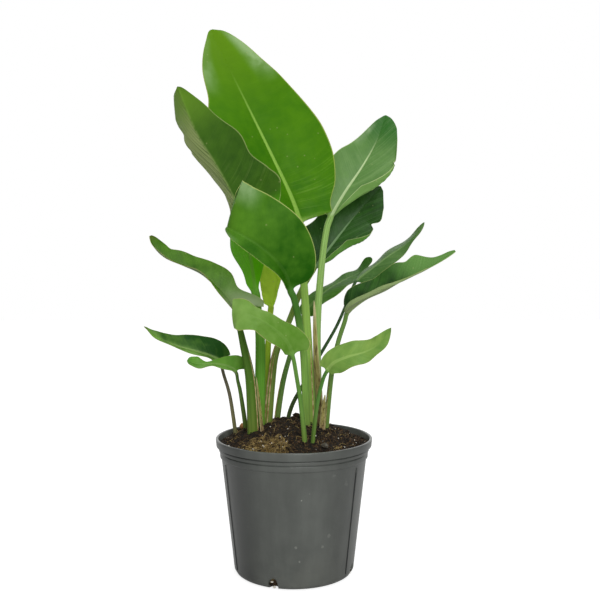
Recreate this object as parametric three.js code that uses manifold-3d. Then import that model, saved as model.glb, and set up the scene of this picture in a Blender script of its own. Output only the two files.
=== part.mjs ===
import * as THREE from 'three';
import { mergeVertices } from 'three/addons/utils/BufferGeometryUtils.js';
import Module from 'manifold-3d';

// A young bird of paradise plant in a moulded nursery pot.
// Millimetres, z up. The pot stands on z = 0 with its axis on the z axis, and the front is -y.

// Pot
const POT_HEIGHT = 200;
const RIM_RADIUS = 117;
const BODY_TOP_RADIUS = 108.5;
const FOOT_RADIUS = 89;
const FOOT_ROUNDING = 6;
const POT_WALL = 2.2;
const POT_FLOOR = 2.6;
const POT_SIDES = 48;
const PANEL_EDGE_ANGLES = [-33, 84, 200];
const PANEL_EDGE_WIDTH = 3;
const PANEL_EDGE_DEPTH = 0.9;
const DRAIN_HOLE_ANGLES = [-19, 71, 161, 251];
const DRAIN_HOLE_RADIUS = 7;
const DRAIN_HOLE_HEIGHT = 3;

// Potting mix
const SOIL_EDGE_HEIGHT = 191;
const SOIL_MOUND = 31;
const SOIL_LUMP = 1.6;
const SOIL_RINGS = 8;
const CLEARANCE = 0.3;
const HOLE_MARGIN = 1.4;

// Leaves
const STEM_DEPTH = 34;
const STEM_FLATNESS = 0.8;
const BLADE_THICKNESS = 0.9;
const RIB_HALF_WIDTH = 3;
const RIB_DEPTH = 3.2;
const FORWARD_SWEEP = 0.25;
const RIPPLE = 1.6;

const LEAF_GREEN = '#4f8a2a';
const DARK_GREEN = '#35701f';
const PALE_GREEN = '#6f9c45';
const YOUNG_GREEN = '#86ad33';
const DRY_BROWN = '#8b6a3e';

// stem: points from the soil surface up to the blade. rib: points along the blade to its tip.
// size: half widths of the stem at the soil and at the blade.
// turn: degrees that the upper face turns from the front toward the blade's right side, at the
// base, the middle and the tip. widths: left and right half widths of the blade at eleven even steps
// from base to tip. round: shares of the blade over which each half is rounded off at its two ends.
// fold: degrees that the left and right halves rise from flat. open: share of the fold that is lost
// toward the tip. curl: degrees that each half bends between rib and edge. base: how far each half
// leans ahead of the rib at the base.
const LEAVES = [
  {
    name: 'leaf_tall_centre',
    colour: LEAF_GREEN,
    stem: [[26, 8], [21, 10, 337], [15, 14, 427], [11, 20, 485]],
    rib: [[9, 24, 520], [-5, 28, 562], [-32, 35, 620], [-64, 42, 686], [-98, 50, 756], [-129, 58, 821]],
    size: [7.5, 5.5],
    widths: [
      [31, 48, 62, 68, 68, 65, 79, 62, 52, 38, 21],
      [56, 54, 75, 91, 94, 90, 83, 71, 56, 51, 48],
    ],
    round: [[0.05, 0.2], [0.05, 0.24]],
    turn: [20, 23, 26],
    fold: [26, 20],
    curl: [-10, -14],
    base: [0.1, -0.1],
    stations: 18,
    columns: 4,
  },
  {
    name: 'leaf_left_back',
    colour: DARK_GREEN,
    stem: [[-52, 3], [-50, -8, 338], [-53, -14, 380]],
    rib: [[-56, -17, 414], [-64, -20, 469], [-76, -24, 525], [-91, -26, 561],
      [-114, -28, 603], [-142, -28, 649], [-169, -24, 715]],
    size: [8.5, 6.5],
    widths: [
      [16, 21, 44, 36, 26, 27, 36, 40, 43, 45, 56],
      [3, 17, 37, 55, 73, 66, 54, 56, 45, 31, 17],
    ],
    round: [[0.06, 0.14], [0.06, 0.12]],
    turn: [12, -28, -26],
    fold: [-40, -26],
    open: 0.55,
    curl: [-18, 6],
    base: [0, 0.2],
    stations: 15,
    columns: 4,
  },
  {
    name: 'leaf_front_centre',
    colour: LEAF_GREEN,
    stem: [[19, -13], [15, -26, 320], [8, -48, 372], [1, -70, 408]],
    rib: [[-4, -80, 420], [-10, -90, 441], [-22, -98, 460], [-41, -104, 478], [-63, -106, 493],
      [-81, -102, 503], [-91, -91, 509], [-90, -78, 512], [-81, -70, 515]],
    size: [6.5, 5],
    widths: [
      [8, 12, 15, 18, 18, 16, 12, 8, 5, 3, 2],
      [13, 39, 54, 64, 65, 65, 65, 66, 66, 55, 36],
    ],
    round: [[0.05, 0.2], [0.05, 0.16]],
    turn: [30, 18, -12],
    fold: [32, 26],
    open: 0.8,
    curl: [-6, -12],
    base: [0.1, -0.15],
    stations: 17,
    columns: 4,
  },
  {
    name: 'leaf_right_top',
    colour: PALE_GREEN,
    stem: [[38, 26], [35, 32, 350], [41, 42, 442], [48, 48, 500]],
    rib: [[56, 51, 530], [78, 57, 570], [106, 64, 611], [128, 72, 650], [145, 80, 694]],
    size: [6.5, 5],
    widths: [
      [20, 34, 44, 49, 49, 45, 37, 31, 24, 15, 6],
      [4, 9, 18, 27, 39, 46, 45, 39, 32, 26, 22],
    ],
    round: [[0.08, 0.08], [0.08, 0.14]],
    turn: [-12, -15, -18],
    fold: [14, 14],
    curl: [-8, -16],
    base: [-0.2, -0.2],
    stations: 13,
  },
  {
    name: 'leaf_right_second',
    colour: DARK_GREEN,
    stem: [[-40, 18], [-35, 23, 276], [-28, 31, 323], [-10, 48, 365], [10, 64, 415]],
    rib: [[30, 78, 450], [51, 88, 479], [77, 98, 512], [101, 104, 541], [141, 110, 584]],
    size: [7, 4.5],
    widths: [
      [34, 37, 42, 45, 47, 48, 46, 42, 35, 25, 14],
      [3, 8, 16, 19, 26, 38, 40, 38, 40, 27, 11],
    ],
    round: [[0.08, 0.06], [0.08, 0.06]],
    turn: [-15, -15, -15],
    fold: [16, 14],
    curl: [-6, -20],
    base: [-0.3, -0.2],
    ripple: 4,
    stations: 13,
  },
  {
    name: 'leaf_left_long',
    colour: LEAF_GREEN,
    stem: [[-60, -14], [-64, -20, 287], [-74, -28, 342], [-80, -34, 372]],
    rib: [[-82, -36, 387], [-95, -36, 408], [-111, -35, 426], [-133, -34, 445],
      [-159, -33, 457], [-185, -35, 468], [-201, -36, 483], [-207, -38, 499]],
    size: [10, 4.5],
    widths: [
      [12, 19, 22, 22, 20, 17, 14, 11, 8, 5, 3],
      [37, 40, 23, 28, 24, 22, 19, 15, 17, 12, 4],
    ],
    round: [[0.04, 0.05], [0.04, 0.05]],
    turn: [36, 55, 48],
    fold: [44, 34],
    open: 0.1,
    curl: [-4, -10],
    base: [0, -0.6],
    ripple: 2,
    stations: 14,
  },
  {
    name: 'leaf_far_left',
    colour: DARK_GREEN,
    stem: [[-89, 18], [-97, 15, 256], [-106, 12, 290]],
    rib: [[-112, 8, 311], [-125, 5, 320], [-147, 0, 328],
      [-176, -4, 337], [-204, -7, 351], [-222, -10, 366]],
    size: [3.6, 2.8],
    widths: [
      [8, 11, 12, 11, 10, 9, 8, 6, 5, 4, 3],
      [18, 23, 27, 29, 27, 22, 18, 14, 8, 4, 3],
    ],
    round: [[0.04, 0.04], [0.04, 0.04]],
    turn: [58, 58, 58],
    fold: [30, 30],
    curl: [-6, -10],
    base: [0, -0.6],
    stations: 11,
  },
  {
    name: 'leaf_small_left',
    colour: PALE_GREEN,
    stem: [[-73, 13], [-80, 4, 262], [-84, -3, 284]],
    rib: [[-86, -10, 297], [-96, -16, 306], [-111, -24, 311],
      [-127, -30, 312], [-142, -34, 313], [-155, -37, 318]],
    size: [4.5, 3],
    widths: [
      [8, 12, 15, 15, 11, 8, 11, 14, 15, 18, 18],
      [11, 20, 22, 16, 9, 5, 5, 9, 11, 11, 10],
    ],
    round: [[0.05, 0.08], [0.05, 0.08]],
    turn: [58, 68, 78],
    fold: [46, 44],
    curl: [-10, -20],
    base: [-0.4, -0.9],
    stations: 10,
  },
  {
    name: 'leaf_front_lower',
    colour: PALE_GREEN,
    stem: [[16, -62], [10, -72, 262], [4, -82, 302]],
    rib: [[-1, -90, 330], [-9, -98, 351], [-24, -104, 367], [-43, -108, 381],
      [-60, -109, 389], [-74, -107, 391], [-84, -103, 388]],
    size: [4, 3],
    widths: [
      [9, 13, 17, 21, 24, 27, 29, 29, 27, 24, 22],
      [18, 31, 28, 23, 20, 19, 19, 21, 23, 25, 25],
    ],
    round: [[0.06, 0.06], [0.06, 0.06]],
    turn: [28, 66, 36],
    fold: [6, 8],
    curl: [-8, -10],
    base: [0, -0.5],
    stations: 14,
  },
  {
    name: 'leaf_young',
    colour: YOUNG_GREEN,
    stem: [[-45, 38], [-42, 37, 290], [-39, 29, 350]],
    rib: [[-35, 20, 393], [-30, 19, 413], [-26, 18, 438], [-21, 18, 468]],
    size: [5.5, 4.5],
    widths: [
      [16, 16, 21, 23, 25, 27, 29, 32, 35, 37, 46],
      [5, 5, 5, 5, 5, 6, 7, 7, 6, 4, 3],
    ],
    round: [[0.12, 0.1], [0.12, 0.1]],
    turn: [0, 0, 0],
    fold: [24, 20],
    curl: [20, 20],
    base: [0, 0],
    stations: 9,
  },
  {
    name: 'leaf_right_back',
    colour: LEAF_GREEN,
    stem: [[-27, 44], [-18, 48, 273], [-6, 55, 318], [5, 66, 352]],
    rib: [[14, 76, 376], [28, 84, 396], [54, 94, 419],
      [84, 106, 436], [108, 114, 448], [126, 120, 470]],
    size: [5, 3.6],
    widths: [
      [12, 16, 18, 18, 16, 15, 16, 15, 13, 12, 10],
      [12, 16, 18, 22, 26, 26, 24, 18, 9, 7, 5],
    ],
    round: [[0.06, 0.06], [0.06, 0.06]],
    turn: [-34, -56, -42],
    fold: [4, 4],
    curl: [-8, -10],
    base: [-0.4, -0.1],
    stations: 12,
  },
  {
    name: 'leaf_right_upper',
    colour: DARK_GREEN,
    stem: [[-10, 46], [-3, 45, 240], [14, 42, 272], [40, 42, 318], [64, 40, 360], [80, 38, 396]],
    rib: [[94, 36, 431], [106, 34, 443], [122, 31, 455], [143, 28, 471],
      [167, 25, 487], [185, 23, 504], [197, 22, 522]],
    size: [4, 2.8],
    widths: [
      [6, 12, 18, 22, 24, 25, 24, 22, 16, 9, 4],
      [14, 18, 20, 21, 21, 19, 14, 9, 6, 3, 2],
    ],
    round: [[0.05, 0.04], [0.05, 0.04]],
    turn: [-62, -62, -62],
    fold: [-18, -18],
    curl: [-8, -8],
    base: [0, 0],
    stations: 12,
  },
  {
    name: 'leaf_right_lower',
    colour: DARK_GREEN,
    stem: [[48, -6], [55, -14, 290], [64, -22, 340], [74, -30, 374]],
    rib: [[77, -35, 386], [87, -42, 397], [105, -50, 410], [129, -56, 421],
      [153, -63, 435], [186, -72, 451], [225, -80, 476]],
    size: [5, 4],
    widths: [
      [9, 19, 24, 24, 23, 24, 25, 30, 34, 10, 3],
      [8, 14, 17, 18, 17, 17, 18, 17, 14, 9, 3],
    ],
    round: [[0.05, 0.04], [0.05, 0.04]],
    turn: [-64, -59, -54],
    fold: [38, 60],
    open: 0.2,
    curl: [-8, -12],
    base: [0, 0],
    stations: 12,
  },
  {
    name: 'leaf_right_small',
    colour: PALE_GREEN,
    stem: [[27, -60], [33, -72, 258], [40, -80, 292]],
    rib: [[46, -86, 308], [57, -92, 322], [77, -99, 331],
      [99, -104, 338], [118, -107, 350], [133, -106, 371]],
    size: [3.6, 2.8],
    widths: [
      [11, 17, 22, 25, 25, 24, 22, 18, 14, 9, 3],
      [9, 14, 19, 21, 21, 20, 18, 15, 12, 7, 3],
    ],
    round: [[0.05, 0.05], [0.05, 0.05]],
    turn: [-40, -64, -50],
    fold: [4, 8],
    curl: [-8, -8],
    base: [-0.5, -0.1],
    stations: 12,
  },
];

// Old leaf bases that have dried: foot, points up to the tip, half width, and which way they face.
const DRY_SHEATHS = [
  {
    name: 'dry_sheath_tall',
    foot: [40, 1],
    line: [[37, -1, 262], [32, 0, 330], [30, 7, 404]],
    half: 6.5,
    face: [-0.3, -1],
  },
  {
    name: 'dry_sheath_right',
    foot: [42, -18],
    line: [[43, -18, 238], [46, -19, 266]],
    half: 5,
    face: [0, -1],
  },
  {
    name: 'dry_sheath_left',
    foot: [-46, -20],
    line: [[-50, -21, 250], [-55, -22, 292]],
    half: 3.2,
    face: [0.6, -1],
  },
];

const wasm = await Module();
wasm.setup();

const lerp = THREE.MathUtils.lerp;
const radians = THREE.MathUtils.degToRad;
const smooth = (a, b, x) => THREE.MathUtils.smoothstep(x, a, b);

// One closed triangle mesh from a three.js geometry: shared corners joined, flat triangles left out.
function closedMesh(geometry) {
  const bare = geometry.clone();
  bare.deleteAttribute('normal');
  bare.deleteAttribute('uv');
  const merged = mergeVertices(bare, 1e-4);
  const kept = [];
  for (let i = 0; i < merged.index.count; i += 3) {
    const [a, b, c] = [0, 1, 2].map((k) => merged.index.getX(i + k));
    if (a !== b && b !== c && c !== a) kept.push(a, b, c);
  }
  merged.setIndex(kept);
  return merged;
}

function toSolid(geometry) {
  const mesh = closedMesh(geometry);
  return new wasm.Manifold(new wasm.Mesh({
    numProp: 3,
    vertProperties: new Float32Array(mesh.attributes.position.array),
    triVerts: new Uint32Array(mesh.index.array),
  }));
}

function toGeometry(solid) {
  const mesh = solid.getMesh();
  const geometry = new THREE.BufferGeometry();
  const places = Float32Array.from(mesh.vertProperties);
  geometry.setAttribute('position', new THREE.BufferAttribute(places, 3));
  geometry.setIndex(Array.from(mesh.triVerts));
  geometry.computeVertexNormals();
  return geometry;
}

// A body turned about the z axis from a profile of [radius, height] points.
function turned(profile, sides) {
  const points = profile.map(([radius, height]) => new THREE.Vector2(radius, height));
  return new THREE.LatheGeometry(points, sides).rotateX(Math.PI / 2);
}

function bodyRadius(height) {
  return lerp(FOOT_RADIUS, BODY_TOP_RADIUS, height / 172);
}

function makePot() {
  const inner = bodyRadius(170) - POT_WALL;
  const profile = [
    [0, 0],
    [FOOT_RADIUS - FOOT_ROUNDING, 0],
    [FOOT_RADIUS - 1.7, 1.8],
    [bodyRadius(FOOT_ROUNDING), FOOT_ROUNDING],
    [bodyRadius(171), 171],
    [110.5, 172.5],
    [110.9, 179.5],
    [109.6, 180.5],
    [112.2, 182],
    [112.6, 186],
    [111.4, 187.2],
    [116, 188.6],
    [RIM_RADIUS, POT_HEIGHT - 1.2],
    [RIM_RADIUS - 1.2, POT_HEIGHT],
    [RIM_RADIUS - 3.4, POT_HEIGHT],
    [RIM_RADIUS - 4, POT_HEIGHT - 1],
    [RIM_RADIUS - 6.5, 186],
    [inner + 0.4, 174],
    [inner, 168],
    [FOOT_RADIUS - POT_WALL - 0.2, FOOT_ROUNDING],
    [FOOT_RADIUS - FOOT_ROUNDING, POT_FLOOR],
    [0, POT_FLOOR],
  ];
  let pot = toSolid(turned(profile, POT_SIDES));
  const slope = Math.atan2(BODY_TOP_RADIUS - FOOT_RADIUS, 172);
  for (const angle of PANEL_EDGE_ANGLES) {
    const edge = new THREE.BoxGeometry(PANEL_EDGE_WIDTH, 2, 158);
    edge.rotateX(-slope);
    edge.translate(0, bodyRadius(88) + PANEL_EDGE_DEPTH - 1, 88);
    edge.rotateZ(radians(angle - 90));
    pot = pot.add(toSolid(edge));
  }
  for (const angle of DRAIN_HOLE_ANGLES) {
    const drill = new THREE.CylinderGeometry(DRAIN_HOLE_RADIUS, DRAIN_HOLE_RADIUS, 30, 20);
    drill.rotateX(radians(50));
    drill.translate(0, FOOT_RADIUS, DRAIN_HOLE_HEIGHT);
    drill.rotateZ(radians(angle - 90));
    pot = pot.subtract(toSolid(drill));
  }
  return toGeometry(pot);
}

// Height of the heaped potting mix at a place in the pot.
function soilHeight(x, y) {
  const out = Math.min(Math.hypot(x + 4, y - 12) / 112, 1);
  const heap = SOIL_MOUND * (1 - out * out) ** 1.3;
  const lumps = Math.sin(x * 0.31 + 1) * Math.cos(y * 0.27) + Math.sin(x * 0.13 - y * 0.19);
  return SOIL_EDGE_HEIGHT + heap + SOIL_LUMP * lumps;
}

function makeSoil(stems) {
  const bottom = POT_FLOOR + CLEARANCE;
  const wall = (height) => bodyRadius(height) - POT_WALL - 0.5;
  const top = 160;
  const profile = [[0, bottom], [FOOT_RADIUS - 8, bottom], [wall(12) - 1, 12], [wall(165) - 0.2, 165]];
  const rim = RIM_RADIUS - 7.1;
  profile.push([wall(172) - 0.2, 172], [rim, 186.5]);
  for (let i = SOIL_RINGS; i >= 0; i--) {
    profile.push([rim * (i / SOIL_RINGS), top + 100]);
  }
  const heap = turned(profile, POT_SIDES);
  const places = heap.attributes.position;
  for (let i = 0; i < places.count; i++) {
    if (places.getZ(i) > top + 50) {
      places.setZ(i, soilHeight(places.getX(i), places.getY(i)));
    }
  }
  let soil = toSolid(heap);
  for (const { foot, radii, heading } of stems) {
    const floor = foot.z - CLEARANCE;
    const hole = new THREE.CylinderGeometry(1, 1, 80, 20).rotateX(Math.PI / 2);
    hole.scale(radii[0] + HOLE_MARGIN, radii[1] + HOLE_MARGIN, 1);
    hole.rotateZ(heading);
    hole.translate(foot.x, foot.y, floor + 40);
    soil = soil.subtract(toSolid(hole));
  }
  return toGeometry(soil);
}

// A closed skin over a row of sections. Each section has an upper and a lower row of points,
// and both faces are split into triangles alike.
function skin(sections) {
  const columns = sections[0].upper.length;
  const places = sections.flatMap(({ upper, lower }) => [...upper, ...lower]);
  const index = [];
  const up = (i, c) => i * 2 * columns + c;
  const low = (i, c) => up(i, c) + columns;
  const quad = (a, b, c, d, other) => {
    if (other) index.push(a, b, d, b, c, d);
    else index.push(a, b, c, a, c, d);
  };
  const last = sections.length - 1;
  const middle = (columns - 1) / 2;
  for (let i = 0; i < last; i++) {
    for (let c = 0; c < columns - 1; c++) {
      const left = c < middle;
      quad(up(i, c), up(i, c + 1), up(i + 1, c + 1), up(i + 1, c), left);
      quad(low(i, c + 1), low(i, c), low(i + 1, c), low(i + 1, c + 1), !left);
    }
    const edge = columns - 1;
    quad(up(i, edge), low(i, edge), low(i + 1, edge), up(i + 1, edge), false);
    quad(low(i, 0), up(i, 0), up(i + 1, 0), low(i + 1, 0), false);
  }
  for (let c = 0; c < columns - 1; c++) {
    quad(up(0, c + 1), up(0, c), low(0, c), low(0, c + 1), false);
    quad(up(last, c), up(last, c + 1), low(last, c + 1), low(last, c), false);
  }
  const geometry = new THREE.BufferGeometry();
  const numbers = places.flatMap((place) => place.toArray());
  geometry.setAttribute('position', new THREE.Float32BufferAttribute(numbers, 3));
  geometry.setIndex(index);
  geometry.computeVertexNormals();
  return geometry;
}

function smoothCurve(points) {
  const places = points.map((point) => new THREE.Vector3(...point));
  return new THREE.CatmullRomCurve3(places, false, 'catmullrom', 0.5);
}

// A leaf's centre line from its foot in the soil to its tip.
function leafLine(leaf) {
  const [[x, y], ...above] = leaf.stem;
  const surface = soilHeight(x, y);
  const points = [[x, y, surface - STEM_DEPTH], [x, y, surface - 4], ...above, ...leaf.rib];
  const curve = smoothCurve(points);
  const bladeStart = (above.length + 2) / (points.length - 1);
  return { curve, bladeStart };
}

// Stations along a leaf: place, direction of growth, and the direction that the upper face looks.
function leafStations(leaf) {
  const { curve, bladeStart } = leafLine(leaf);
  const stemSteps = 4 + leaf.stem.length;
  const marks = [];
  for (let i = 0; i < stemSteps; i++) {
    marks.push({ along: bladeStart * (i / stemSteps), blade: 0 });
  }
  for (let i = 0; i <= leaf.stations; i++) {
    const blade = (i / leaf.stations) ** 1.15;
    marks.push({ along: lerp(bladeStart, 1, blade), blade });
  }
  for (const mark of marks) {
    mark.place = curve.getPoint(mark.along);
    mark.ahead = curve.getTangent(mark.along);
  }
  const start = marks[stemSteps];
  const front = new THREE.Vector3(0, -1, 0);
  front.addScaledVector(start.ahead, -front.dot(start.ahead)).normalize();
  start.face = front;
  const carry = (from, to) => {
    to.face = from.face.clone().addScaledVector(to.ahead, -from.face.dot(to.ahead)).normalize();
  };
  for (let i = stemSteps - 1; i >= 0; i--) carry(marks[i + 1], marks[i]);
  for (let i = stemSteps + 1; i < marks.length; i++) carry(marks[i - 1], marks[i]);
  for (const mark of marks) {
    const [base, middle, tip] = leaf.turn;
    const outer = Math.max(mark.blade * 2 - 1, 0);
    const turn = lerp(lerp(base, middle, Math.min(mark.blade * 2, 1)), tip, outer);
    mark.face.applyAxisAngle(mark.ahead, radians(turn));
    mark.side = new THREE.Vector3().crossVectors(mark.ahead, mark.face);
  }
  return { marks, stemSteps };
}

// Half width of the blade at a place along it: eleven even steps joined by a smooth curve, and
// rounded off over a share of the blade at each end.
function halfWidth(leaf, own, blade) {
  const steps = leaf.widths[own];
  const place = Math.min(blade, 1) * 10;
  const k = Math.min(Math.floor(place), 9);
  const t = place - k;
  const [before, a, b, after] = [k - 1, k, k + 1, k + 2].map((n) => steps[Math.min(Math.max(n, 0), 10)]);
  const square = 2 * before - 5 * a + 4 * b - after;
  const cube = 3 * a - before - 3 * b + after;
  const bow = (b - before) * t + square * t * t + cube * t ** 3;
  const quarter = (x) => Math.sqrt(1 - (1 - Math.min(Math.max(x, 0.002), 1)) ** 2);
  const [base, tip] = leaf.round[own];
  return (a + bow / 2) * quarter(blade / base) * quarter((1 - blade) / tip);
}

// The upper and lower row of points at one station: an oval stem that opens into a folded blade
// with its rib below.
function leafSection(leaf, mark, stemHalf) {
  const count = leaf.columns ?? 3;
  const ripple = leaf.ripple ?? RIPPLE;
  const upper = [];
  const lower = [];
  const bladeShare = smooth(-0.001, 0.06, mark.blade);
  const rib = RIB_DEPTH * (1 - 0.85 * mark.blade) * Math.min(1, leaf.size[1] / 4);
  for (let c = -count - 1; c <= count + 1; c++) {
    const hand = Math.sign(c);
    const own = hand < 0 ? 0 : 1;
    const half = Math.max(halfWidth(leaf, own, mark.blade), 1);
    const ribEdge = Math.min(RIB_HALF_WIDTH * (1 - 0.6 * mark.blade), half * 0.4) / half;
    const step = Math.abs(c);
    const out = step === 0 ? 0 : lerp(ribEdge, 1, (step - 1) / count);
    const start = radians(leaf.fold[own] * (1 - (leaf.open ?? 0.35) * mark.blade));
    const bend = radians(leaf.curl[own]);
    const angle = start + bend * out;
    const across = half * (Math.sin(angle) - Math.sin(start)) / bend;
    const wave = ripple * out * out * Math.sin(mark.blade * (17 + 3 * own) + leaf.widths[0][4]);
    const rise = half * (Math.cos(start) - Math.cos(angle)) / bend + wave * bladeShare;
    const sweep = lerp(leaf.base[own], FORWARD_SWEEP * (1 - mark.blade), smooth(0, 0.5, mark.blade));
    const lean = sweep * half * out * out;
    const under = BLADE_THICKNESS + (step === 0 ? rib : 0);
    const bladeTop = [hand * across, rise - (step === 0 ? 0.3 : 0), lean];
    const bladeLow = [
      bladeTop[0] + hand * Math.sin(step === 0 ? 0 : angle) * under,
      rise - Math.cos(step === 0 ? 0 : angle) * under,
      lean,
    ];
    const turn = radians(lerp(90, 7, step / (count + 1)));
    const stemSide = hand * stemHalf * Math.cos(turn);
    const stemRise = stemHalf * STEM_FLATNESS * Math.sin(turn);
    const rows = [[upper, bladeTop, stemRise], [lower, bladeLow, -stemRise]];
    for (const [row, spot, height] of rows) {
      const side = lerp(stemSide, spot[0], bladeShare);
      const up = lerp(height, spot[1], bladeShare);
      const point = mark.place.clone().addScaledVector(mark.side, side).addScaledVector(mark.face, up);
      row.push(point.addScaledVector(mark.ahead, spot[2] * bladeShare));
    }
  }
  return { upper, lower };
}

function makeLeaf(leaf) {
  const { marks, stemSteps } = leafStations(leaf);
  const sections = marks.map((mark, i) => {
    const along = Math.min(i / stemSteps, 1);
    const half = lerp(leaf.size[0], leaf.size[1], smooth(0.1, 0.8, along));
    return leafSection(leaf, mark, half);
  });
  const foot = marks[0];
  return {
    geometry: skin(sections),
    foot: foot.place,
    radii: [leaf.size[0], leaf.size[0] * STEM_FLATNESS],
    heading: Math.atan2(foot.side.y, foot.side.x),
  };
}

// A dried leaf base: a thin curved strip that narrows to a point.
function makeSheath(sheath) {
  const [x, y] = sheath.foot;
  const surface = soilHeight(x, y);
  const points = [[x, y, surface - STEM_DEPTH / 2], [x, y, surface - 2], ...sheath.line];
  const curve = smoothCurve(points);
  const face = new THREE.Vector3(...sheath.face, 0).normalize();
  const side = new THREE.Vector3(-face.y, face.x, 0);
  const sections = [];
  for (let i = 0; i <= 8; i++) {
    const along = i / 8;
    const half = sheath.half * Math.sqrt(1.02 - along * along);
    const upper = [];
    const lower = [];
    for (let c = -2; c <= 2; c++) {
      const turn = radians(c * 34);
      const reach = curve.getPoint(along).addScaledVector(side, half * Math.sin(turn));
      const crown = half * 0.7 * (Math.cos(turn) - 1);
      upper.push(reach.clone().addScaledVector(face, crown));
      lower.push(reach.clone().addScaledVector(face, crown - BLADE_THICKNESS));
    }
    sections.push({ upper, lower });
  }
  return {
    geometry: skin(sections),
    foot: curve.getPoint(0),
    radii: [sheath.half + 0.5, sheath.half * 0.7 + 1],
    heading: Math.atan2(side.y, side.x),
  };
}

const group = new THREE.Group();
group.name = 'potted_bird_of_paradise';

function addPiece(name, geometry, color, roughness) {
  const material = new THREE.MeshStandardMaterial({ color, roughness, metalness: 0 });
  material.name = name;
  const mesh = new THREE.Mesh(geometry, material);
  mesh.name = name;
  group.add(mesh);
}

const leaves = LEAVES.map((leaf) => ({ ...leaf, ...makeLeaf(leaf) }));
const sheaths = DRY_SHEATHS.map((sheath) => ({ ...sheath, ...makeSheath(sheath) }));
addPiece('pot', makePot(), '#4b4e4c', 0.55);
addPiece('potting_soil', makeSoil([...leaves, ...sheaths]), '#3a2a20', 0.95);
for (const leaf of leaves) addPiece(leaf.name, leaf.geometry, leaf.colour, 0.4);
for (const sheath of sheaths) addPiece(sheath.name, sheath.geometry, DRY_BROWN, 0.8);

export default group;
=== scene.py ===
import math
import random

import bmesh
import bpy
from bpy.props import FloatProperty, FloatVectorProperty, IntProperty, PointerProperty
from bpy.types import Operator, Panel, PropertyGroup
from mathutils import Matrix, Vector, noise


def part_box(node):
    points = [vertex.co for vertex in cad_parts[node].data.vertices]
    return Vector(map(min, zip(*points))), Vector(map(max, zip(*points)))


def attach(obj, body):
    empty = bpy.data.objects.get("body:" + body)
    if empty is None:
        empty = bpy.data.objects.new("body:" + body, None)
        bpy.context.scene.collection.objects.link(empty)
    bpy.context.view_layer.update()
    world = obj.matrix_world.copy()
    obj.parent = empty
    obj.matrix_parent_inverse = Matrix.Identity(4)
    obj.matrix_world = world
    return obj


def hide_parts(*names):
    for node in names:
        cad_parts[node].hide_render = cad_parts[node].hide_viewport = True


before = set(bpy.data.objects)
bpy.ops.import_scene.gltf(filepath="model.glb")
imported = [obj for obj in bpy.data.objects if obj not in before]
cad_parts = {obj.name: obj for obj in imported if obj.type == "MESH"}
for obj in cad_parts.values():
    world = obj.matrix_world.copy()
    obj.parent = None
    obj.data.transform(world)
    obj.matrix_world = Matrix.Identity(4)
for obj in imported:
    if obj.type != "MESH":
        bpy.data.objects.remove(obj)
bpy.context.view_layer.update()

bl_info = {
    "name": "Potted bird of paradise",
    "version": (1, 0, 0),
    "blender": (4, 5, 0),
    "location": "3D View > Sidebar > Plant",
    "description": "Builds a young bird of paradise plant in a moulded nursery pot",
    "category": "Add Mesh",
}

# The plant stands on z = 0 with the pot's axis on the z axis, and the front is -y.
# Tables of leaf and pot sizes are in millimetres, and meshes are in metres.
MM = 0.001
POT_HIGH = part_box("pot")[1]

# Camera: lens and sensor in millimetres, place in metres, and degrees that it looks down.
CAMERA_LENS = 48.24
CAMERA_SENSOR = 36.0
CAMERA_PLACE = (0.009, -1.2, 0.448)
CAMERA_DIP = 2.06

# Pot
BODY_TOP_RADIUS = 108.5
BODY_TOP_HEIGHT = 172.0
FOOT_RADIUS = 89.0
POT_WALL = 2.2
POT_STEPS = 180
POT_ROUNDING = 0.3
PANEL_EDGE_ANGLES = (-33, 84, 203)
PANEL_EDGE_SIZE = (3.0, 2.0, 158.0)
PANEL_EDGE_DEPTH = 0.9
PANEL_EDGE_MIDDLE = 88.0
PANEL_EDGE_ROUNDING = 0.45
DRAIN_HOLE_ANGLES = (-19, 71, 161, 251)
DRAIN_HOLE_RADIUS = 7.5
DRAIN_HOLE_HEIGHT = 4.5
DRAIN_HOLE_TILT = 50.0
DRAIN_DRILL_LENGTH = 30.0
# Scuffs on the pot's front: turn from the front, height, radius and strength.
SCUFFS = (
    (6.2, 132.0, 1.5, 0.7),
    (12.2, 141.0, 1.0, 0.3),
    (2.0, 63.5, 2.6, 0.3),
    (5.2, 43.0, 1.9, 0.4),
    (25.0, 62.0, 2.8, 0.25),
    (30.5, 76.5, 3.6, 0.2),
)

# Potting mix
SOIL_EDGE_HEIGHT = 191.0
SOIL_CREST = (-4, 12)
SOIL_MOUND = 31.0
SOIL_MOUND_RADIUS = 112
SOIL_LUMP = 1.6
SOIL_RADIUS = 111.2
SOIL_CELLS = 190
SOIL_SEED = 41
# Clods on the crest of the heap: centre and radius of their patch, their number, and two large ones.
CLOD_PATCH = ((2, 34), 22)
CLODS = 26
LARGE_CLODS = ((3, 47), (6, 44))
# Bits of mix in each drain hole: turn in degrees, depth behind the wall and height.
HOLE_CRUMBS = ((-2.2, 3.5, 4), (0.2, 4.5, 7), (2.4, 3.5, 5), (1.0, 4.0, 10))
HOLE_GRAINS = ((-1.3, 2.6, 9.5), (0.6, 3.0, 1.8))
# Patch of coir: centre and radius of its fibres, half sizes of its colour, and its white grains.
COIR_PATCH = ((-42, -78), 36)
COIR_STAIN = (34, 26)
COIR_GRAINS = 24
# Two larger bits: piece, its matter with dark and light colour, place, size, sink, shape and bevel.
SINGLE_LUMPS = (
    ("wood_chip", ("fresh_wood", "#9c6437", "#d9a671"), (-79, 25), 11, -1.6, (0.95, 0.8, 0.9), 0.5),
    ("grey_stone", ("stone", "#4b463e", "#7f796c"), (44, -72), 15, -0.6, (1, 0.7, 0.45), 0.6),
)

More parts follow.
